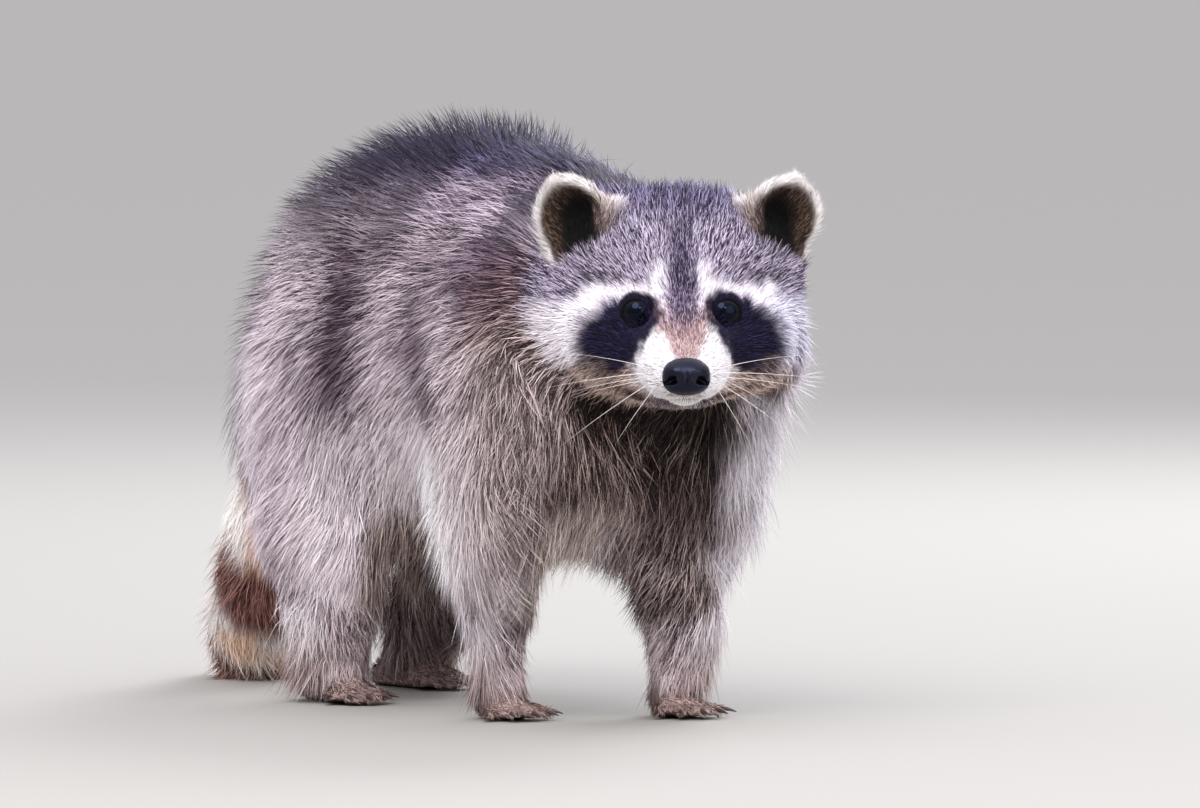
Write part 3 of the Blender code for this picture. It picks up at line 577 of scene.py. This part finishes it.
def paint_head(points):
    """The black mask, white brows and muzzle, tan bridge, dark stripe and grizzled crown."""
    across, ahead, high = face_place(points)
    side = np.abs(across + 4.5 * (noise(points, 4 * MM, 4) - 0.5))
    high = high + 4.5 * (noise(points, 5 * MM, 5) - 0.5)
    coat = Paint(points, (56, 46, 66), (214, 201, 224), 0.43)
    lay = coat.lay

    def band(start, end, start_radius, end_radius, soft):
        """A soft-edged band on both sides between two places, each (sideways, height)."""
        along, distance = along_line(np.stack([side, high], axis=-1), np.array(start), np.array(end))
        return ramp(soft, -soft, distance - (start_radius + (end_radius - start_radius) * along))

    front = ramp(-34, -14, ahead)
    # crown, and the dark flecks where it meets the brows
    lay(0.85 * ramp(266, 286, high), (36, 30, 52), (150, 139, 180), 0.33)
    lay(0.6 * band((34, 243), (50, 241), 2.5, 3, 4), (56, 46, 58), (160, 146, 158), 0.3)
    # cheeks and ruff
    lay(front * ramp(46, 60, side) * ramp(234, 222, high), (196, 184, 196), (253, 247, 253), 0.84)
    lay((1 - front) * ramp(232, 205, high), (140, 124, 130), (234, 224, 230), 0.64)
    lower = ramp(199, 191, high) * ramp(12, 22, side) * ramp(74, 56, side)
    lay(0.9 * lower * front, (112, 80, 70), (236, 212, 200), 0.56)
    lay(0.7 * ramp(188, 178, high) * ramp(54, 66, side), (180, 168, 176), (244, 238, 244), 0.78)
    # brows
    lay(front * band((12.0, 247), (14.0, 229), 2.0, 5.4, 4.4), (186, 174, 188), (254, 249, 254), 0.9)
    lay(front * band((15, 237.5), (46, 233), 2.2, 4.0, 3.6), (182, 170, 184), (254, 248, 254), 0.88)
    lay(front * band((46, 232), (66, 204), 6, 11, 4.5), (196, 184, 196), (254, 248, 254), 0.86)
    # painted shade: below the brow, the left cheek alone is laid darker and bluer
    lay(0.6 * front * ramp(38, 56, across) * ramp(240, 228, high) * ramp(184, 196, high),
        (140, 134, 158), (226, 226, 248), 0.7)
    # muzzle
    snout = ramp(18, 32, ahead - 0.5 * np.clip(high - 190, 0, 20)) * ramp(31, 25, side)
    lay(snout * ramp(219, 207, high), (212, 203, 212), (254, 250, 254), 0.9)
    lay(ramp(20, 26, ahead) * band((15, 213), (20, 200), 6, 9, 3.4), (200, 190, 196), (248, 243, 248), 0.82)
    # the mask
    mask = front * band((20.2, 225.0), (39.5, 208), 9.2, 17.6, 2.4 + 3.2 * ramp(34, 54, side))
    mask *= 1 - ramp(24, 17, side) * ramp(212, 206, high)
    mask = np.maximum(mask, ramp(12.2, 10.6, from_eyes(points)))
    lay(mask * (1 - 0.6 * ramp(54, 62, side)), (13, 10, 29), (44, 37, 76), 0.28)
    lay(front * band((38, 191), (50, 195), 3, 5, 4) * 0.7, (64, 50, 50), (140, 120, 116), 0.4)
    # bridge and stripe
    narrow = 0.5 * np.clip(high - 208, -9, 8)
    bridge = ramp(13.0 + narrow, 6.0 + narrow, side) * ramp(194, 203, high) * ramp(238, 212, high)
    lay(0.85 * bridge * ramp(10, 20, ahead), (96, 67, 67), (194, 156, 151), 0.46)
    stripe = ramp(11, 1.5, side) * ramp(210, 230, high) * ramp(290, 258, high) * ramp(-20, 0, ahead)
    lay(0.85 * stripe, (38, 31, 48), (140, 124, 156), 0.26)
    # lips, chin and the shade under the jaw
    lay(0.85 * ramp(11, 7, side) * ramp(182, 179.5, high) * ramp(176.5, 178.5, high) * ramp(50, 60, ahead),
        (62, 54, 58), (172, 166, 170), 0.4)
    lay(0.95 * band((22, 176.5), (40, 180), 3.2, 4.6, 2.6) * ramp(4, 14, ahead),
        (26, 18, 18), (84, 65, 58), 0.22)
    jaw = ramp(180, 176, high) * ramp(58, 44, ahead) * ramp(12, 24, ahead)
    lay(jaw, (52, 39, 36), (140, 118, 106), 0.38)
    lay(ramp(181, 178, high) * ramp(27, 34, ahead) * ramp(25, 18, side),
        (208, 198, 196), (254, 250, 248), 0.88)
    lay(ramp(176, 170, high) * ramp(24, 10, ahead), (82, 64, 60), (200, 182, 172), 0.48)
    return coat


def paint_ear(points):
    """White rim, brown cup that darkens to black at its root, dusky back."""
    coat = Paint(points, (70, 58, 68), (140, 126, 138), 0.4)
    lay = coat.lay
    across, _, _ = face_place(points)
    for side, x in SIDES.items():
        a, out, up, reach = ear_place(points, side)
        mine = (across * x > 0).astype(float)
        # the cup's hollow side lies ahead of the dome's middle sheet
        dome = -9 * np.sqrt(np.clip(1 - reach**2, 0, 1))
        inside = mine * ramp(-1.5, 1.0, out - dome) * ramp(0.93, 0.78, reach)
        inner = -a * x * np.sign(ear_axes(side)[0] @ HEAD_LEFT)
        rim_end = np.where(inner > 0, ramp(-4, 9, up), ramp(-26, -10, up))
        lay(mine * ramp(0.72, 0.86, reach) * rim_end, (216, 204, 206), (250, 246, 244), 0.85)
        lay(inside, (42, 30, 25), (132, 108, 93), 0.3)
        lay(inside * ramp(1.9, 1.0, oval(inner, up, 4.5, -5, 10, 15)), (3, 2, 2), (14, 9, 8), 0.1)
        lay(mine * 0.8 * ramp(-14, -24, up), (130, 100, 84), (204, 176, 156), 0.5)
        lay(0.65 * mine * ramp(1.2, 0.7, oval(inner, up, 19, 2, 7, 11)), (74, 56, 54), (190, 166, 156), 0.42)
    return coat


def paint_leg(points):
    """Pale hair over dark brown, paler low down, and dusky low on the left hind leg."""
    x, y, z = (points / MM).T
    coat = Paint(points, (64, 45, 49), (238, 219, 226), 0.58)
    coat.lay(0.8 * ramp(-2, 2, x) * ramp(34, 60, z), (58, 43, 45), (240, 228, 234), 0.6)
    coat.lay(0.8 * ramp(42, 18, z), (122, 102, 105), (244, 229, 233), 0.74)
    coat.lay(0.6 * ramp(20, 60, y) * ramp(-2, 2, x) * ramp(90, 50, z), (56, 40, 38), (160, 134, 126), 0.36)
    return coat


def paint_fringe(points):
    """The pale trailing hair of the legs; on the left foreleg's side toward the rim light it is painted rim
    light as well.
    """
    z = points[:, 2] / MM
    coat = Paint(points, (176, 161, 167), (253, 247, 252), 0.86)
    coat.lay(ramp(44, 18, z), (122, 97, 93), (230, 210, 207), 0.6)
    return coat


def paint_foot(points):
    z = points[:, 2] / MM
    coat = Paint(points, (104, 78, 74), (212, 186, 180), 0.54)
    coat.lay(ramp(3.0, 1.2, z), (40, 32, 32), (60, 48, 48), 0.4)
    return coat


TAIL_MARKS = np.array([TAIL_PATH[0] + np.array((0, -0.01, 0.045)), *TAIL_PATH])
# where along the tail each dark ring lies, from 0 at its root to 4 at its tip's middle, and how wide it is
TAIL_RINGS = ((0.7, 0.27), (1.86, 0.25), (3.2, 0.28), (4.6, 0.42))


def along_tail(points):
    """How many of the tail's marks each point has passed."""
    lines = zip(TAIL_MARKS[:-1], TAIL_MARKS[1:], (1, 1, 1, 1.6))
    parts, distances = np.array([along_line(points, *line) for line in lines]).swapaxes(0, 1)
    nearest = distances.argmin(0)
    return nearest + np.take_along_axis(parts, nearest[None], 0)[0]


def paint_tail(points):
    place = along_tail(points) + 0.16 * (noise(points, 14 * MM, 6) - 0.5)
    coat = Paint(points, (224, 160, 128), (253, 224, 202), 0.85)
    # creamier on its right and behind, more orange on the side towards the legs
    middle_x, middle_y = (np.interp(place, range(len(TAIL_MARKS)), TAIL_MARKS[:, k]) for k in (0, 1))
    rightward = 0.5 * (points[:, 1] - middle_y) - 0.87 * (points[:, 0] - middle_x)
    cream = noise(points, 22 * MM, 8) + 0.42 * ramp(6, 22, rightward / MM) - 0.24
    coat.lay(0.95 * ramp(0.34, 0.54, cream), (252, 236, 228), (255, 252, 250), 0.96)
    for centre, wide in TAIL_RINGS:
        coat.lay(ramp(wide + 0.16, wide - 0.12, np.abs(place - centre)), (94, 58, 55), (186, 138, 128), 0.4)
    return coat


PAINTERS = (paint_head, paint_ear, paint_leg, paint_foot, paint_tail, paint_fringe)


def markings(points, weights):
    """The coat's colours at points whose shares of head, ear, leg, foot, tail and fringe are given."""
    coat = paint_body(points)
    for painter, weight in zip(PAINTERS, weights.T):
        here = weight > 0.01
        if here.any():
            own = painter(points[here])
            coat.move(own.dark, own.light, own.share, ramp(0.2, 0.8, weight[here]), here)
    return coat


# --- materials ---
def make_material(name, roughness, specular, settings=None, relief=None):
    """A material with its mesh's own colours, unless it's given a Base Color. Its relief is a scale, detail,
    strength and distance."""
    made = bpy.data.materials.new(name)
    made.use_nodes = True
    nodes, links = made.node_tree.nodes, made.node_tree.links
    shader = nodes["Principled BSDF"]
    settings = {"Roughness": roughness, "Specular IOR Level": specular, **(settings or {})}
    for socket, value in settings.items():
        shader.inputs[socket].default_value = value
    if "Base Color" not in settings:
        colour = nodes.new("ShaderNodeAttribute")
        colour.attribute_name = "coat"
        links.new(colour.outputs["Color"], shader.inputs["Base Color"])
    if relief:
        place = nodes.new("ShaderNodeTexCoord")
        grain = nodes.new("ShaderNodeTexNoise")
        bump = nodes.new("ShaderNodeBump")
        grain.inputs["Scale"].default_value, grain.inputs["Detail"].default_value = relief[:2]
        bump.inputs["Strength"].default_value, bump.inputs["Distance"].default_value = relief[2:]
        links.new(place.outputs["Object"], grain.inputs["Vector"])
        links.new(grain.outputs["Fac"], bump.inputs["Height"])
        links.new(bump.outputs["Normal"], shader.inputs["Normal"])
    return made


FUR = make_material("fur", 0.62, 0.11, {"Sheen Weight": 0.03, "Sheen Roughness": 0.5})
SKIN = make_material("skin", 0.8, 0.1, relief=(900, 3, 0.5, 0.0006))


def colour_points(mesh, colours):
    layer = mesh.color_attributes.new("coat", "FLOAT_COLOR", "POINT")
    solid = np.column_stack([colours, np.ones(len(colours))]).astype(np.float32)
    layer.data.foreach_set("color", solid.ravel())


def ring_faces(rings, sides):
    """The four-cornered faces between rings of points, given one ring after another."""
    here = np.arange((rings - 1) * sides)
    beside = here + np.where(here % sides == sides - 1, 1 - sides, 1)
    return np.stack([here, here + sides, beside + sides, beside], axis=-1)


# --- the skin, with the lids joined to it ---
def lids(side):
    """A ring of points round the eye for each step of the profile, and the faces between them."""
    across, up, out = eye_axes(side)
    angle = math.tau * np.arange(LID_STEPS) / LID_STEPS
    c, s = np.cos(angle), np.sin(angle)
    corner = np.maximum(-SIDES[side] * np.sign(across @ HEAD_LEFT) * c, 0) ** 8
    half_wide, half_high = EYE_OPENING
    opening = (half_wide + 0.6 * corner) / np.hypot(c, s * half_wide / half_high)
    ahead = np.sqrt((BALL_RADIUS / MM) ** 2 - opening**2) - BALL_BACK / MM
    spokes = np.outer(c, across) + np.outer(s, up)
    points = np.concatenate([
        BALLS[side] + (spokes * (opening + past)[:, None] + np.outer(ahead + lift, out)) * MM
        for past, lift in LID_PROFILE
    ])
    quads = ring_faces(len(LID_PROFILE), LID_STEPS)
    faces = np.concatenate([quads[:, [0, 1, 2]], quads[:, [0, 2, 3]]])
    first, second, third = points[faces[0]]
    if np.cross(second - first, third - first) @ out < 0:
        faces = faces[:, ::-1]
    return points, faces


coat = markings(skin_points, groups)
colours = mix(coat.dark, coat.light, 0.15 + 0.5 * coat.share) * 0.62
colours *= (1 - 0.9 * mouth_line)[:, None]
points, faces = joined([(skin_points, body.faces), *map(lids, SIDES)])
lid_colours = np.tile(rgb(7, 6, 9), (len(points) - len(skin_points), 1))
mesh = new_mesh("skin", points, faces)
colour_points(mesh, np.concatenate([colours, lid_colours]))
skin = show("skin", mesh, SKIN)
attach(skin, "root")
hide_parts(*FLESH)

# --- the coat ---
# name: (how the names of the nodes that it grows on begin, how many tufts, steps in each, material slot)
PIECES = {
    "coat_neck": ("neck", 22000, 3, "body_fur"),
    "coat_chest": ("chest", 30000, 3, "body_fur"),
    "coat_trunk": ("trunk", 21000, 3, "body_fur"),
    "coat_rump": ("rump", 36000, 3, "body_fur"),
    "coat_shoulder_left": ("shoulder_left", 22000, 3, "body_fur"),
    "coat_shoulder_right": ("shoulder_right", 28000, 3, "body_fur"),
    "coat_thigh_left": ("thigh_left", 16000, 3, "body_fur"),
    "coat_thigh_right": ("thigh_right", 24000, 3, "body_fur"),
    "coat_forelegs": (("forearm", "forefoot"), 28000, 2, "leg_fur"),
    "coat_hind_legs": (("shank", "hindfoot"), 22000, 2, "leg_fur"),
    "coat_tail": ("tail", 20000, 3, "tail_pale_fur"),
    "coat_head": ("head", 52000, 2, "face_fur"),
    "coat_muzzle": ("muzzle", 13000, 2, "muzzle_fur"),
    "coat_ears": ("ear", 15000, 2, "face_fur"),
}
PATCH = 0.003    # each tuft's patch on the unwrap
LOCK_SIZE = 7.5 * MM
GUARD_TIP = rgb(34, 27, 42)
# where guard hairs are tipped with black, and where most of them are
grizzled = body.smoothed(belongs("trunk", "rump", "neck", "shoulder", "thigh") * ramp(95, 140, height), 6)
rear = ramp(0.2, 0.5, outward[:, 1]) * ramp(130, 175, height) * ramp(50, 100, body_y)
back = np.maximum(grizzled * np.maximum(ramp(238, 282, height), 0.9 * rear), crown)


def unwrap(faces):
    """Each corner's place on an unwrap of the skin's faces given."""
    used, index = np.unique(faces, return_inverse=True)
    mesh = new_mesh("unwrap", skin_points[used], index.reshape(-1, 3))
    piece = show("unwrap", mesh)
    bpy.ops.object.select_all(action="DESELECT")
    piece.select_set(True)
    bpy.context.view_layer.objects.active = piece
    bpy.ops.object.mode_set(mode="EDIT")
    bpy.ops.mesh.select_all(action="SELECT")
    bpy.ops.uv.smart_project(angle_limit=math.radians(72), island_margin=0.004)
    bpy.ops.object.mode_set(mode="OBJECT")
    places = rows(mesh.uv_layers.active.data, "uv", np.float32, 2).reshape(-1, 3, 2)
    bpy.data.objects.remove(piece, do_unlink=True)
    return places


def roots_on(faces, count, rng):
    """Random places on the faces: each one's face and the weights of its three corners."""
    a, b, c = skin_points[faces.T]
    area = np.linalg.norm(np.cross(b - a, c - a), axis=1)
    area *= 0.3 + 1 / (0.35 + length[faces].mean(1) / (20 * MM))
    area *= 1 - 0.97 * np.clip(covered[faces].mean(1), 0, 1)
    steps = np.cumsum(area)
    chosen = np.minimum(np.searchsorted(steps, rng.random(count) * steps[-1]), len(faces) - 1)
    first, second = np.sqrt(rng.random(count)), rng.random(count)
    return chosen, np.stack([1 - first, first * (1 - second), first * second], axis=-1)


# where nothing grows: the eyeballs, the nose pad, the mouth's line and the soles
covered = np.maximum.reduce(
    [ramp(8.4, 7.2, eye_distance), ramp(1.0, 0.86, pad_distance), 0.8 * mouth_line, sole]
)


def grow(name, beginnings, count, steps, rng):
    """One piece of the coat: tapering ribbons that rise from the skin and lie along it, in locks."""
    nodes = [node for node in FLESH if node.startswith(beginnings)]
    faces = body.faces[np.isin(point_node[body.faces[:, 0]], nodes)]
    corner_places = unwrap(faces)
    chosen, corners = roots_on(faces, count, rng)
    points = faces[chosen]

    def at_root(values):
        return np.einsum("nk...,nk->n...", values[points], corners)

    root, normal = at_root(skin_points), unit(at_root(skin_normals))
    way = tangent(at_root(flow), normal)
    high, reach, wide = map(at_root, (depth, length, width))
    turn, pull, curve, weights = map(at_root, (spread, gather, bend, groups))
    uv = np.einsum("nkj,nk->nj", corner_places[chosen], corners)

    # each tuft's own length, height and heading
    size = rng.uniform(0.62, 1.08, count)
    upper = at_root(back)
    guard = (rng.random(count) < (0.18 + 0.2 * upper) * np.clip(reach / (24 * MM), 0, 1)).astype(float)
    size += guard * (rng.uniform(1.0, 1.22, count) + 0.12 * upper - size)
    reach *= size
    high *= at_root(lift) * rng.uniform(0.5, 0.95, count) * (1 + guard * (0.5 + 0.75 * upper))
    arch = 1.6 - 0.45 * guard    # a guard hair goes on rising to its tip
    wave = (noise(root, 26 * MM, 9) - 0.5) * 1.1 * np.clip(reach / (25 * MM), 0.2, 1)
    heading = rng.normal(0, 1, count) * turn + wave
    way = way * np.cos(heading)[:, None] + np.cross(normal, way) * np.sin(heading)[:, None]
    lock, number = locks(root, LOCK_SIZE, 20)
    gap = lock - root - normal * dot(lock - root, normal)
    pull *= rng.uniform(0.4, 1.0, count)

    ahead = np.sqrt(np.maximum(reach**2 - high**2, (0.5 * reach) ** 2))
    places = []
    for t in np.linspace(0, 1, steps + 1):
        along = ahead * t**1.18
        rise = high * (1 - (1 - t) ** arch) - 0.5 * curve * along**2
        place = root + way * along[:, None] + normal * rise[:, None] + gap * (pull * t * t)[:, None]
        place[:, 2] -= np.clip(reach / (40 * MM), 0, 1) ** 2 * 3.0 * MM * t * t
        places.append(place)
    places = np.stack(places, axis=1)
    places[..., 2] = np.maximum(places[..., 2], 0.35 * MM)

    tipped = (0.25 + 0.6 * upper) * at_root(grizzled)
    banded = np.clip(reach / (18 * MM) - 0.5, 0, 1)
    clump = 0.34 * np.clip(reach / (30 * MM), 0, 1)
    tone = clump * number + (1 - clump) * rng.random(count)
    shade = rng.uniform(0.86, 1.14, count)
    dark_tip = (rng.random(count) < 0.45) * np.clip(reach / (24 * MM), 0, 1)
    colours = []
    for k in range(steps + 1):
        t = k / steps
        coat = markings(places[:, k], weights)
        light = ramp(0.18, -0.18, tone - coat.share)
        light *= 1 - banded * (1 - ramp(0.05, 0.62, t))
        if k == steps:
            light *= 1 - dark_tip * ramp(0.9, 0.8, coat.share)
        mixed = mix(coat.dark, coat.light, light)
        tip = guard * tipped * ramp(0.96, 0.9, coat.share)
        tip *= ramp(0, 1, (t - 0.45 + 0.15 * upper) / (0.4 - 0.06 * upper))
        root_shade = 0.45 + 0.55 * min(1, t * 1.9 + 0.05)
        colours.append(mix(mixed, GUARD_TIP, tip) * (root_shade * shade)[:, None])

    wide *= rng.uniform(0.7, 1.25, count) * (1 - 0.2 * guard)
    make_ribbons(name, places, colours, normal, wide, uv, rng)


TAPER = {2: (0.85, 0.8, 0.0), 3: (0.75, 1.0, 0.72, 0.0)}


def make_ribbons(name, places, colours, normal, wide, uv, rng):
    """A mesh of tapering ribbons along the places given, each with its own patch on the unwrap."""
    count, rings = places.shape[:2]
    steps = rings - 1
    roll = rng.normal(0, math.radians(24), count)[:, None]
    corners = []
    for k in range(rings):
        after, before = places[:, min(k + 1, steps)], places[:, max(k - 1, 0)]
        along = unit(after - before)
        side = unit(np.cross(along, normal))
        side = side * np.cos(roll) + np.cross(side, along) * np.sin(roll)
        facing = unit(np.cross(side, along)) * 0.55 + normal * 0.45
        half = side * (wide * TAPER[steps][k] / 2)[:, None]
        for edge in (-1, 1) if k < steps else (0,):
            shine = unit(facing + side * 0.45 * edge)
            patch = uv + PATCH * np.array((edge / 2, k / steps - 0.5))
            corners.append((places[:, k] + half * edge, shine, colours[k], patch))
    each = len(corners)
    points, shading, tints, patches = (
        np.stack(values, axis=1).reshape(count * each, -1) for values in zip(*corners)
    )
    pattern = []
    for k in range(steps - 1):
        pattern += [(2 * k, 2 * k + 1, 2 * k + 3), (2 * k, 2 * k + 3, 2 * k + 2)]
    pattern.append((each - 3, each - 2, each - 1))
    faces = (np.arange(count)[:, None, None] * each + np.array(pattern)).reshape(-1, 3)
    mesh = new_mesh(name, points, faces)
    colour_points(mesh, tints)
    layer = mesh.uv_layers.new(name="OFBake")
    layer.data.foreach_set("uv", patches[faces.ravel()].astype(np.float32).ravel())
    mesh.normals_split_custom_set_from_vertices(shading)
    piece = show(name, mesh, FUR)
    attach(piece, "root")


for number, (name, (beginnings, count, steps, slot)) in enumerate(PIECES.items()):
    grow(name, beginnings, count, steps, np.random.default_rng(100 + number))


# --- eyes, nose, claws, whiskers ---
def ball_grid(rings, sides):
    """Directions over a ball whose poles are at -Y and +Y, and the faces between them."""
    tilt = math.pi * np.arange(rings + 1)[:, None] / rings
    turn = math.tau * np.arange(sides) / sides
    directions = [np.sin(tilt) * np.cos(turn), -np.cos(tilt) + 0 * turn, np.sin(tilt) * np.sin(turn)]
    return np.stack(directions, axis=-1).reshape(-1, 3), ring_faces(rings + 1, sides)


def finish_piece(name, points, faces, material, slot, replaced, colours=None):
    mesh = new_mesh(name, points, faces)
    shape = bmesh.new()
    shape.from_mesh(mesh)
    bmesh.ops.remove_doubles(shape, verts=shape.verts, dist=1e-6)
    bmesh.ops.recalc_face_normals(shape, faces=shape.faces)
    shape.to_mesh(mesh)
    shape.free()
    if colours:
        colour_points(mesh, colours(point_array(mesh)))
    piece = show(name, mesh, material)
    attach(piece, "root")
    if replaced:
        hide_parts(*replaced)
    return piece


material = make_material("eye", 0.03, 0.22, {"Specular Tint": (0.36, 0.48, 0.84, 1)})
directions, faces = ball_grid(40, 56)
for side in SIDES:
    across, up, out = eye_axes(side)
    centre = BALLS[side] - out * BALL_BACK
    shallow = directions * np.where(directions[:, 1:2] < 0, (1, 0.3, 1), 1)
    points = centre + shallow @ np.stack([across, out, up]) * BALL_RADIUS

    def iris(places):
        facing = unit(places - centre) @ out
        ring = ramp(0.7, 0.76, facing) * ramp(0.93, 0.9, facing)
        return mix(rgb(4, 4, 6), rgb(14, 10, 10), ring)

    finish_piece(f"eyeball_{side}", points, faces, material, "eye", [f"eye_{side}"], iris)


def nostrils(across, high):
    """How far in the nostrils go, in millimetres, at places on the pad's front."""
    pushed = np.zeros_like(across)
    for push, *place in ((5.2, 7.4, -1.8, 3.4, 2.9), (3.4, 10.8, -3.4, 3.2, 1.8)):
        pushed += push * ramp(1.15, 0.0, oval(np.abs(across), high, *place))
    return pushed


# the pad's near-black leather, with painted shade that darkens it further the deeper the nostrils go
def leather_and_nostril_shade(places):
    away = (places - NOSE) / MM
    return mix(rgb(9, 8, 18), rgb(0, 0, 1), ramp(0.6, 3.0, nostrils(away @ HEAD_LEFT, away @ UP)))


# the pad: broad above, with nostrils that open to the sides and a groove down the middle
tint = {"Specular Tint": (0.62, 0.66, 1.0, 1)}
material = make_material("nose", 0.25, 0.32, tint, (1500, 2, 0.35, 0.0003))
directions, faces = ball_grid(80, 96)
x, y, z = directions.T
wide = 12.7 * np.sign(x) * np.abs(x) ** 0.86 * (1 - 0.02 * z)
high = 9.9 * np.sign(z) * np.abs(z) ** 0.8
deep = 8.6 * y * (1 - 0.1 * z)
face_on = ramp(0.1, 0.5, y)
deep -= nostrils(wide, high) * face_on
deep -= 0.8 * np.exp(-((wide / 0.55) ** 2)) * ramp(3.5, -1, high) * face_on
deep += 0.7 * np.exp(-(((np.abs(wide) - 6.5) / 3.5) ** 2 + ((high - 3.8) / 2.6) ** 2)) * face_on
points = NOSE + np.stack([wide, deep, high], axis=-1) @ np.stack([HEAD_LEFT, HEAD_FORWARD, UP]) * MM
finish_piece("nose_pad", points, faces, material, "nose", ["nose"], leather_and_nostril_shade)

# each foot's claws, rounded off from the frame's own
horn = {"Base Color": (*rgb(66, 52, 46), 1), "Coat Weight": 0.1}
material = make_material("claw", 0.38, 0.5, horn, (700, 3, 0.3, 0.0004))
for kind in ("fore", "hind"):
    for side in SIDES:
        names = [f"claw_{kind}_{side}_{k}" for k in range(1, 6)]
        piece = finish_piece(f"claws_{kind}_{side}", *joined(node_parts(names)), material, "claw", names)
        rounder = piece.modifiers.new("rounder", "SUBSURF")
        rounder.levels = rounder.render_levels = 1


def tube(path, thick, sides=4):
    """A hair's points and faces: a thin round form that tapers to its end."""
    along = unit(np.gradient(path, axis=0))
    across = unit(np.cross(along, UP))
    over = np.cross(across, along)
    radius = thick / 2 * np.linspace(1, 0.15, len(path))[:, None]
    angles = math.tau * np.arange(sides) / sides
    points = [path + (across * math.cos(angle) + over * math.sin(angle)) * radius for angle in angles]
    return np.stack(points, axis=1).reshape(-1, 3), ring_faces(len(path), sides)


# root (sideways, forward, height), heading (outward, forward, up), length and droop, in millimetres
WHISKERS = (
    ((19, 56, 192.5), (1.0, -0.15, 0.02), 62, 4), ((20, 52, 190), (1.0, -0.1, -0.06), 46, 4),
    ((18, 58, 195), (1.0, -0.05, 0.2), 48, 4), ((20, 54, 186), (1.0, -0.05, -0.62), 52, 5),
    ((17, 60, 184), (0.8, 0.05, -0.95), 34, 3), ((22, 48, 188), (1.0, -0.25, -0.3), 34, 3),
    ((17, 26, 243), (0.5, 0.35, 0.75), 15, 1),
)


material = make_material("whisker", 0.35, 0.4, {"Base Color": (*rgb(236, 230, 226), 1)})
t = np.linspace(0, 1, 11)[:, None]
rng = np.random.default_rng(7)
hairs = []
for x in SIDES.values():
    for (across, ahead, high), (out, on, up), reach, droop in WHISKERS:
        out, on, up = np.array((out, on, up)) + rng.normal(0, 0.07, 3)
        start = on_head(x * across, ahead, high)
        way = unit(HEAD_LEFT * x * out + HEAD_FORWARD * on + UP * up)
        reach *= rng.uniform(0.85, 1.08)
        path = start + (way * reach * t - (HEAD_FORWARD * 0.16 * reach + UP * droop) * t**2) * MM
        hairs.append(tube(path, 0.34 * MM))
finish_piece("whiskers", *joined(hairs), material, "muzzle_fur", None)

# --- floor, light and camera ---
FLOOR_REACH = 150.0
corners = FLOOR_REACH * np.array([(-1, -1, 0), (1, -1, 0), (1, 1, 0), (-1, 1, 0)])
material = make_material("floor", 0.85, 0.2, {"Base Color": (*rgb(158, 155, 150), 1)})
floor = show("floor", new_mesh("floor", corners, np.array([(0, 1, 2, 3)])), material)

# the place, size, power and colour of each soft light
LIGHTS = {
    "key": ((-2.6, -2.4, 3.2), 3.0, 158, (1.0, 0.98, 0.97)),
    "fill": ((0.6, -4.0, 1.0), 3.4, 52, (1.0, 0.98, 0.97)),
    "rim": ((2.4, 1.6, 2.2), 1.6, 90, (0.93, 0.95, 1.0)),
    "catch": ((-1.1, -3.4, 2.1), 0.6, 16, (0.97, 0.98, 1.0)),
}
# the sky's colour at each height, from 0 at the horizon to 1 overhead
SKY = {0: (0.485, 0.475, 0.475, 1), 0.3: (0.68, 0.67, 0.68, 1), 1: (1.9, 1.94, 2.14, 1)}
AIM = Vector((0.005, -0.14, 0.17))
CAMERA_AZIMUTH = -30.0
CAMERA_ELEVATION = 2.2
CAMERA_DISTANCE = 6.5
CAMERA_LENS = 361


def aim_from(made, place):
    """Puts a light or the camera at a place and turns it to the animal."""
    made.location = place
    made.rotation_euler = (AIM - place).to_track_quat("-Z", "Y").to_euler()


for name, (place, size, power, colour) in LIGHTS.items():
    light = bpy.data.lights.new(name, "AREA")
    light.shape = "DISK"
    light.size, light.energy, light.color = size, power, colour
    aim_from(show(name, light), Vector(place))
world = bpy.data.worlds.new("studio")
bpy.context.scene.world = world
world.use_nodes = True
nodes, links = world.node_tree.nodes, world.node_tree.links
place = nodes.new("ShaderNodeTexCoord")
parts = nodes.new("ShaderNodeSeparateXYZ")
sky = nodes.new("ShaderNodeValToRGB")
elements = sky.color_ramp.elements
elements.new(0.5)
for element, (level, colour) in zip(elements, SKY.items()):
    element.position, element.color = level, colour
links.new(place.outputs["Generated"], parts.inputs["Vector"])
links.new(parts.outputs["Z"], sky.inputs["Fac"])
links.new(sky.outputs["Color"], nodes["Background"].inputs["Color"])

azimuth, elevation = math.radians(CAMERA_AZIMUTH), math.radians(CAMERA_ELEVATION)
level = math.cos(elevation)
away = Vector((math.sin(azimuth) * level, -math.cos(azimuth) * level, math.sin(elevation)))
lens = bpy.data.cameras.new("camera")
lens.lens, lens.sensor_width, lens.clip_end = CAMERA_LENS, 36, 400
camera = show("camera", lens)
aim_from(camera, AIM + away * CAMERA_DISTANCE)
bpy.context.scene.camera = camera
bpy.context.scene.view_settings.view_transform = "Standard"
